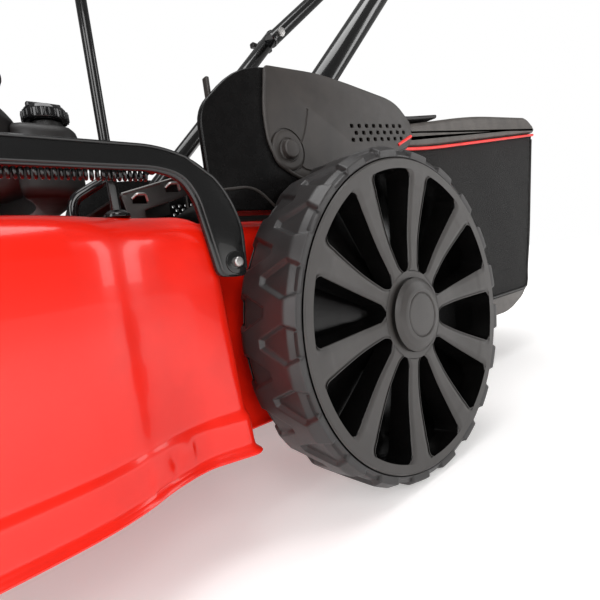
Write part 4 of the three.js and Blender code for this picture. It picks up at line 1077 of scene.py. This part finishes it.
def make_bag_hard_parts():
    lid = [(36, 318), (155, 326), (530, 379.2), (529, 391), (500, 404), (300, 384), (120, 352), (36, 338)]
    radii = [2, 30, 3, 8, 12, 60, 40, 4]
    shell = build("bag_lid_cover", plate(soften(lid, radii, 6), -162, 162, 7), GREY, "grass_bag",
                  replaced="bag_lid")
    hollow = plate([(30, 310), (155, 318), (524, 372), (520, 388), (498, 398), (300, 379), (120, 347),
                    (42, 334), (30, 330)],
                   -154, 154, 1)
    carve(shell, hollow)
    ribs = []
    for x in (-110, -66, 66, 110):
        line = [(x, y, np.interp(y, (120, 300, 496), (351.2, 383.2, 402.8))) for y in np.linspace(215, 488,
                                                                                                  40)]
        ribs.append(sweep(line, [0.4] + [2.2] * 38 + [0.4], 12))
    build("bag_lid_ribs", merged(*ribs), GREY, "grass_bag")
    tray = [(44, 103.6), (441, 105.4), (425, 92), (370, 74), (150, 78), (60, 88)]
    base = build("bag_tray_shell", plate(soften(tray, [1, 3, 12, 30, 30, 10], 6), -156, 156, 3), GREY,
                 "grass_bag", replaced="bag_tray")
    carve(base, plate([(58, 120), (428, 120), (420, 96), (369, 77.5), (151, 81.5), (66, 92)], -152, 152, 1))
    runners = [sweep([(x, y, np.interp(y, (60, 150, 370, 425),
                                       (87.6, 77.8, 74, 91.6))) for y in np.linspace(80, 400, 30)],
                     2.4, 10) for x in (-120, -60, 0, 60, 120)]
    build("bag_tray_ribs", merged(*runners), GREY, "grass_bag")
    x = 151
    hoop = sweep(bent([(-x, 47, 305), (-x, 47, 114), (x, 47, 114), (x, 47, 305)], 12, 8), 3.4, 16)
    cross = rod((-x, 47, 306), (x, 47, 306), 3.4, 20)
    build("bag_frame_wire", merged(hoop, cross), BLACK, "grass_bag", replaced="bag_frame")
    grip = sweep(bent([(-60, 250, 380), (-60, 250, 414), (60, 250, 414), (60, 250, 380)], 20, 10), 7, 24)
    feet = [turn([(0, 376), (12, 376), (12, 380), (9, 382), (0, 382)], (s * 60, 250, 0), "Z", 1, 40,
                 0.8) for s in (-1, 1)]
    build("bag_handle_grip", merged(grip, *feet), MATT, "grass_bag", replaced="bag_handle")


def make_flap():
    shape = [(19, 346), (19, 361), (40, 362), (120, 362), (206, 375), (206, 370), (120, 357), (40, 351),
             (36, 346)]
    panel = build("rear_flap_panel", plate(soften(shape, [3, 4, 3, 30, 2, 2, 30, 6, 2], 5), -158, 158, 2.5),
                  MATT, "rear_flap", replaced="rear_flap")
    carve(panel, rod((-170, 26, 353), (170, 26, 353), 3.9, 32, 0.1))
    ribs = []
    for x in np.linspace(-130, 130, 9):
        ribs.append(sweep([(x, 46, 362.0), (x, 120, 362.2), (x, 196, 373.6)], [0.8, 1.8, 0.8], 10))
    build("rear_flap_ribs", merged(*ribs), MATT, "rear_flap")


# ---------- handlebars ----------
def along_upper(distance, x, off=0.0):
    c, s = math.cos(UPPER_ANGLE), math.sin(UPPER_ANGLE)
    return (x, JOIN[0] + distance * c - off * s, JOIN[1] + distance * s + off * c)


def make_handlebars():
    run = np.array(JOIN, float) - np.array(FOLD, float)
    run /= np.linalg.norm(run)
    for word, side in SIDES.items():
        def at(base, d):
            return (side * LOWER_TUBE_X, base[0] + d * run[0], base[1] + d * run[1])
        start, stop = at(FOLD, -21.6), at(JOIN, 21.6)
        bar = rod(start, stop, TUBE_RADIUS, 40, 3.5)
        caps = [sweep([at(FOLD, -23), at(FOLD, -22.6), at(FOLD, -17), at(FOLD, -16.6)],
                      [10, 12.3, 12.9, 12.6], 40),
                sweep([at(JOIN, 16.6), at(JOIN, 17), at(JOIN, 21.4), at(JOIN, 22)], [12.6, 12.9, 12, 9],
                      40)]
        build("lower_handlebar_" + word + "_tube", bar, BLACK, "lower_handle",
              replaced="lower_handlebar_" + word)
        build("lower_handlebar_" + word + "_caps", merged(*caps), GLOSS, "lower_handle")
        make_clamp(word, side)
    x, top = UPPER_TUBE_X, UPPER_LENGTH
    route = bent([along_upper(-21.6, -x), along_upper(top, -x), along_upper(top, x), along_upper(-21.6, x)],
                 60, 16)
    build("upper_handlebar_loop", sweep(route, TUBE_RADIUS, 36), BLACK, "upper_handle",
          replaced="upper_handlebar")
    ends = [sweep([along_upper(-23, s * x), along_upper(-22, s * x), along_upper(-17, s * x),
                   along_upper(-16.6, s * x)],
                  [10, 12.3, 12.9, 12.6], 36) for s in (-1, 1)]
    build("upper_handlebar_caps", merged(*ends), GLOSS, "upper_handle")
    sleeve = rod(along_upper(top, -78), along_upper(top, 78), 16.8, 48, 3)
    build("handle_grip_sleeve", sleeve, FOAM, "upper_handle", replaced="handle_grip")
    reach, rise = 104 * math.cos(math.radians(35)), 104 * math.sin(math.radians(35))
    tip = [along_upper(BAIL_ALONG + reach, s * 132, rise) for s in (-1, 1)]
    foot = [along_upper(BAIL_ALONG, s * 132) for s in (-1, 1)]
    outer = [along_upper(BAIL_ALONG, s * 149.6) for s in (-1, 1)]
    wire = sweep(bent([outer[0], foot[0], tip[0], tip[1], foot[1], outer[1]], [0, 4, 24, 24, 4, 0], 10), 4,
                 20)
    build("bail_lever_wire", wire, BLACK, "bail", replaced="bail_lever")


def make_clamp(word, side):
    def at(x):
        return (side * x, *JOIN)
    shaft = rod(at(137), at(196), 4, 24)
    head = turn([(0, 136), (8, 136), (8, 141), (0, 141)], (0, *JOIN), "X", side, 6, 0.4)
    hub = turn([(0, 193), (11, 193), (11, 200), (9.4, 206), (0, 206.4)], (0, *JOIN), "X", side, 48, 0.8)
    outline = [(JOIN[0] - 24, JOIN[1] - 5), (JOIN[0] - 8, JOIN[1] - 3.4), (JOIN[0] + 8, JOIN[1] - 3.4),
               (JOIN[0] + 24, JOIN[1] - 5),
               (JOIN[0] + 24, JOIN[1] + 5), (JOIN[0] + 8, JOIN[1] + 3.4), (JOIN[0] - 8, JOIN[1] + 3.4),
               (JOIN[0] - 24, JOIN[1] + 5)]
    wings = plate(soften(outline, 3.2, 4), *sorted((side * 197, side * 208)), 2.2)
    build("clamp_knob_" + word + "_bolt", merged(shaft, head), STEEL, "clamp_" + word)
    build("clamp_knob_" + word + "_wings", merged(hub, wings), MATT, "clamp_" + word,
          replaced="clamp_knob_" + word)


# ---------- studio ----------
def add_area(name, place, target, width, height, power, colour=(1, 1, 1)):
    data = bpy.data.lights.new(name, "AREA")
    data.shape = "RECTANGLE"
    data.size, data.size_y = width, height
    data.energy = power
    data.color = colour
    lamp = bpy.data.objects.new(name, data)
    lamp.location = place
    lamp.rotation_euler = (Vector(target) - Vector(place)).to_track_quat("-Z", "Y").to_euler()
    bpy.context.scene.collection.objects.link(lamp)


def add_studio():
    floor = bpy.data.meshes.new("floor")
    r = 9.0
    floor.from_pydata([(-r, -r, 0), (r, -r, 0), (r, r, 0), (-r, r, 0)], [], [(0, 1, 2, 3)])
    s = Shader("floor_paper_painted_glow")
    s.set(Base_Color=s.ramp(s.noise(1.5, 2), (0.86, 0.85, 0.845, 1), (0.9, 0.89, 0.885, 1)), Roughness=0.7)
    # The floor glows: its emission is weakest under the mower, a painted shadow, and rises to white further
    # out, a painted glow.
    away = s.nodes.new("ShaderNodeVectorMath")
    away.operation = "LENGTH"
    s.links.new(s.place, away.inputs[0])
    painted_floor_glow = s.nodes.new("ShaderNodeMapRange")
    for socket, value in (("From Min", 0.4), ("From Max", 0.95), ("To Min", 0.33), ("To Max", 1.05)):
        painted_floor_glow.inputs[socket].default_value = value
    s.links.new(away.outputs["Value"], painted_floor_glow.inputs["Value"])
    s.set(Emission_Color=(1.0, 0.985, 0.975, 1), Emission_Strength=painted_floor_glow.outputs["Result"])
    floor.materials.append(s.material)
    obj = bpy.data.objects.new("floor", floor)
    bpy.context.scene.collection.objects.link(obj)
    world = bpy.data.worlds.new("studio")
    world.use_nodes = True
    nodes, links = world.node_tree.nodes, world.node_tree.links
    backdrop = nodes["Background"]
    backdrop.inputs["Color"].default_value = (1.0, 1.0, 1.0, 1)
    path = nodes.new("ShaderNodeLightPath")
    level = nodes.new("ShaderNodeMapRange")
    level.inputs["To Min"].default_value = 0.22
    level.inputs["To Max"].default_value = 1.0
    links.new(path.outputs["Is Camera Ray"], level.inputs["Value"])
    links.new(level.outputs["Result"], backdrop.inputs["Strength"])
    bpy.context.scene.world = world
    add_area("key_softbox", (2.2, -0.9, 1.3), (0.26, -0.1, 0.15), 1.0, 1.5, 24)
    add_area("front_softbox", (0.9, -2.4, 1.0), (0.2, -0.3, 0.15), 0.9, 1.8, 24)
    add_area("top_softbox", (0.3, -0.3, 2.4), (0.15, -0.2, 0.2), 1.8, 1.2, 30)
    add_area("rim_softbox", (1.3, 1.7, 0.9), (0.27, -0.05, 0.14), 0.5, 1.4, 9)
    view = bpy.context.scene.view_settings
    view.view_transform = "Standard"
    view.look = "None"


for word, side in SIDES.items():
    make_cheek(word, side)
    make_fold_bolt(word, side)
make_side_handle()
make_quadrant()
make_latch()
make_tunnel()
make_engine()
make_tank()
make_engine_fittings()
make_running_gear()
make_bag()
make_bag_hard_parts()
make_flap()
make_handlebars()
add_studio()
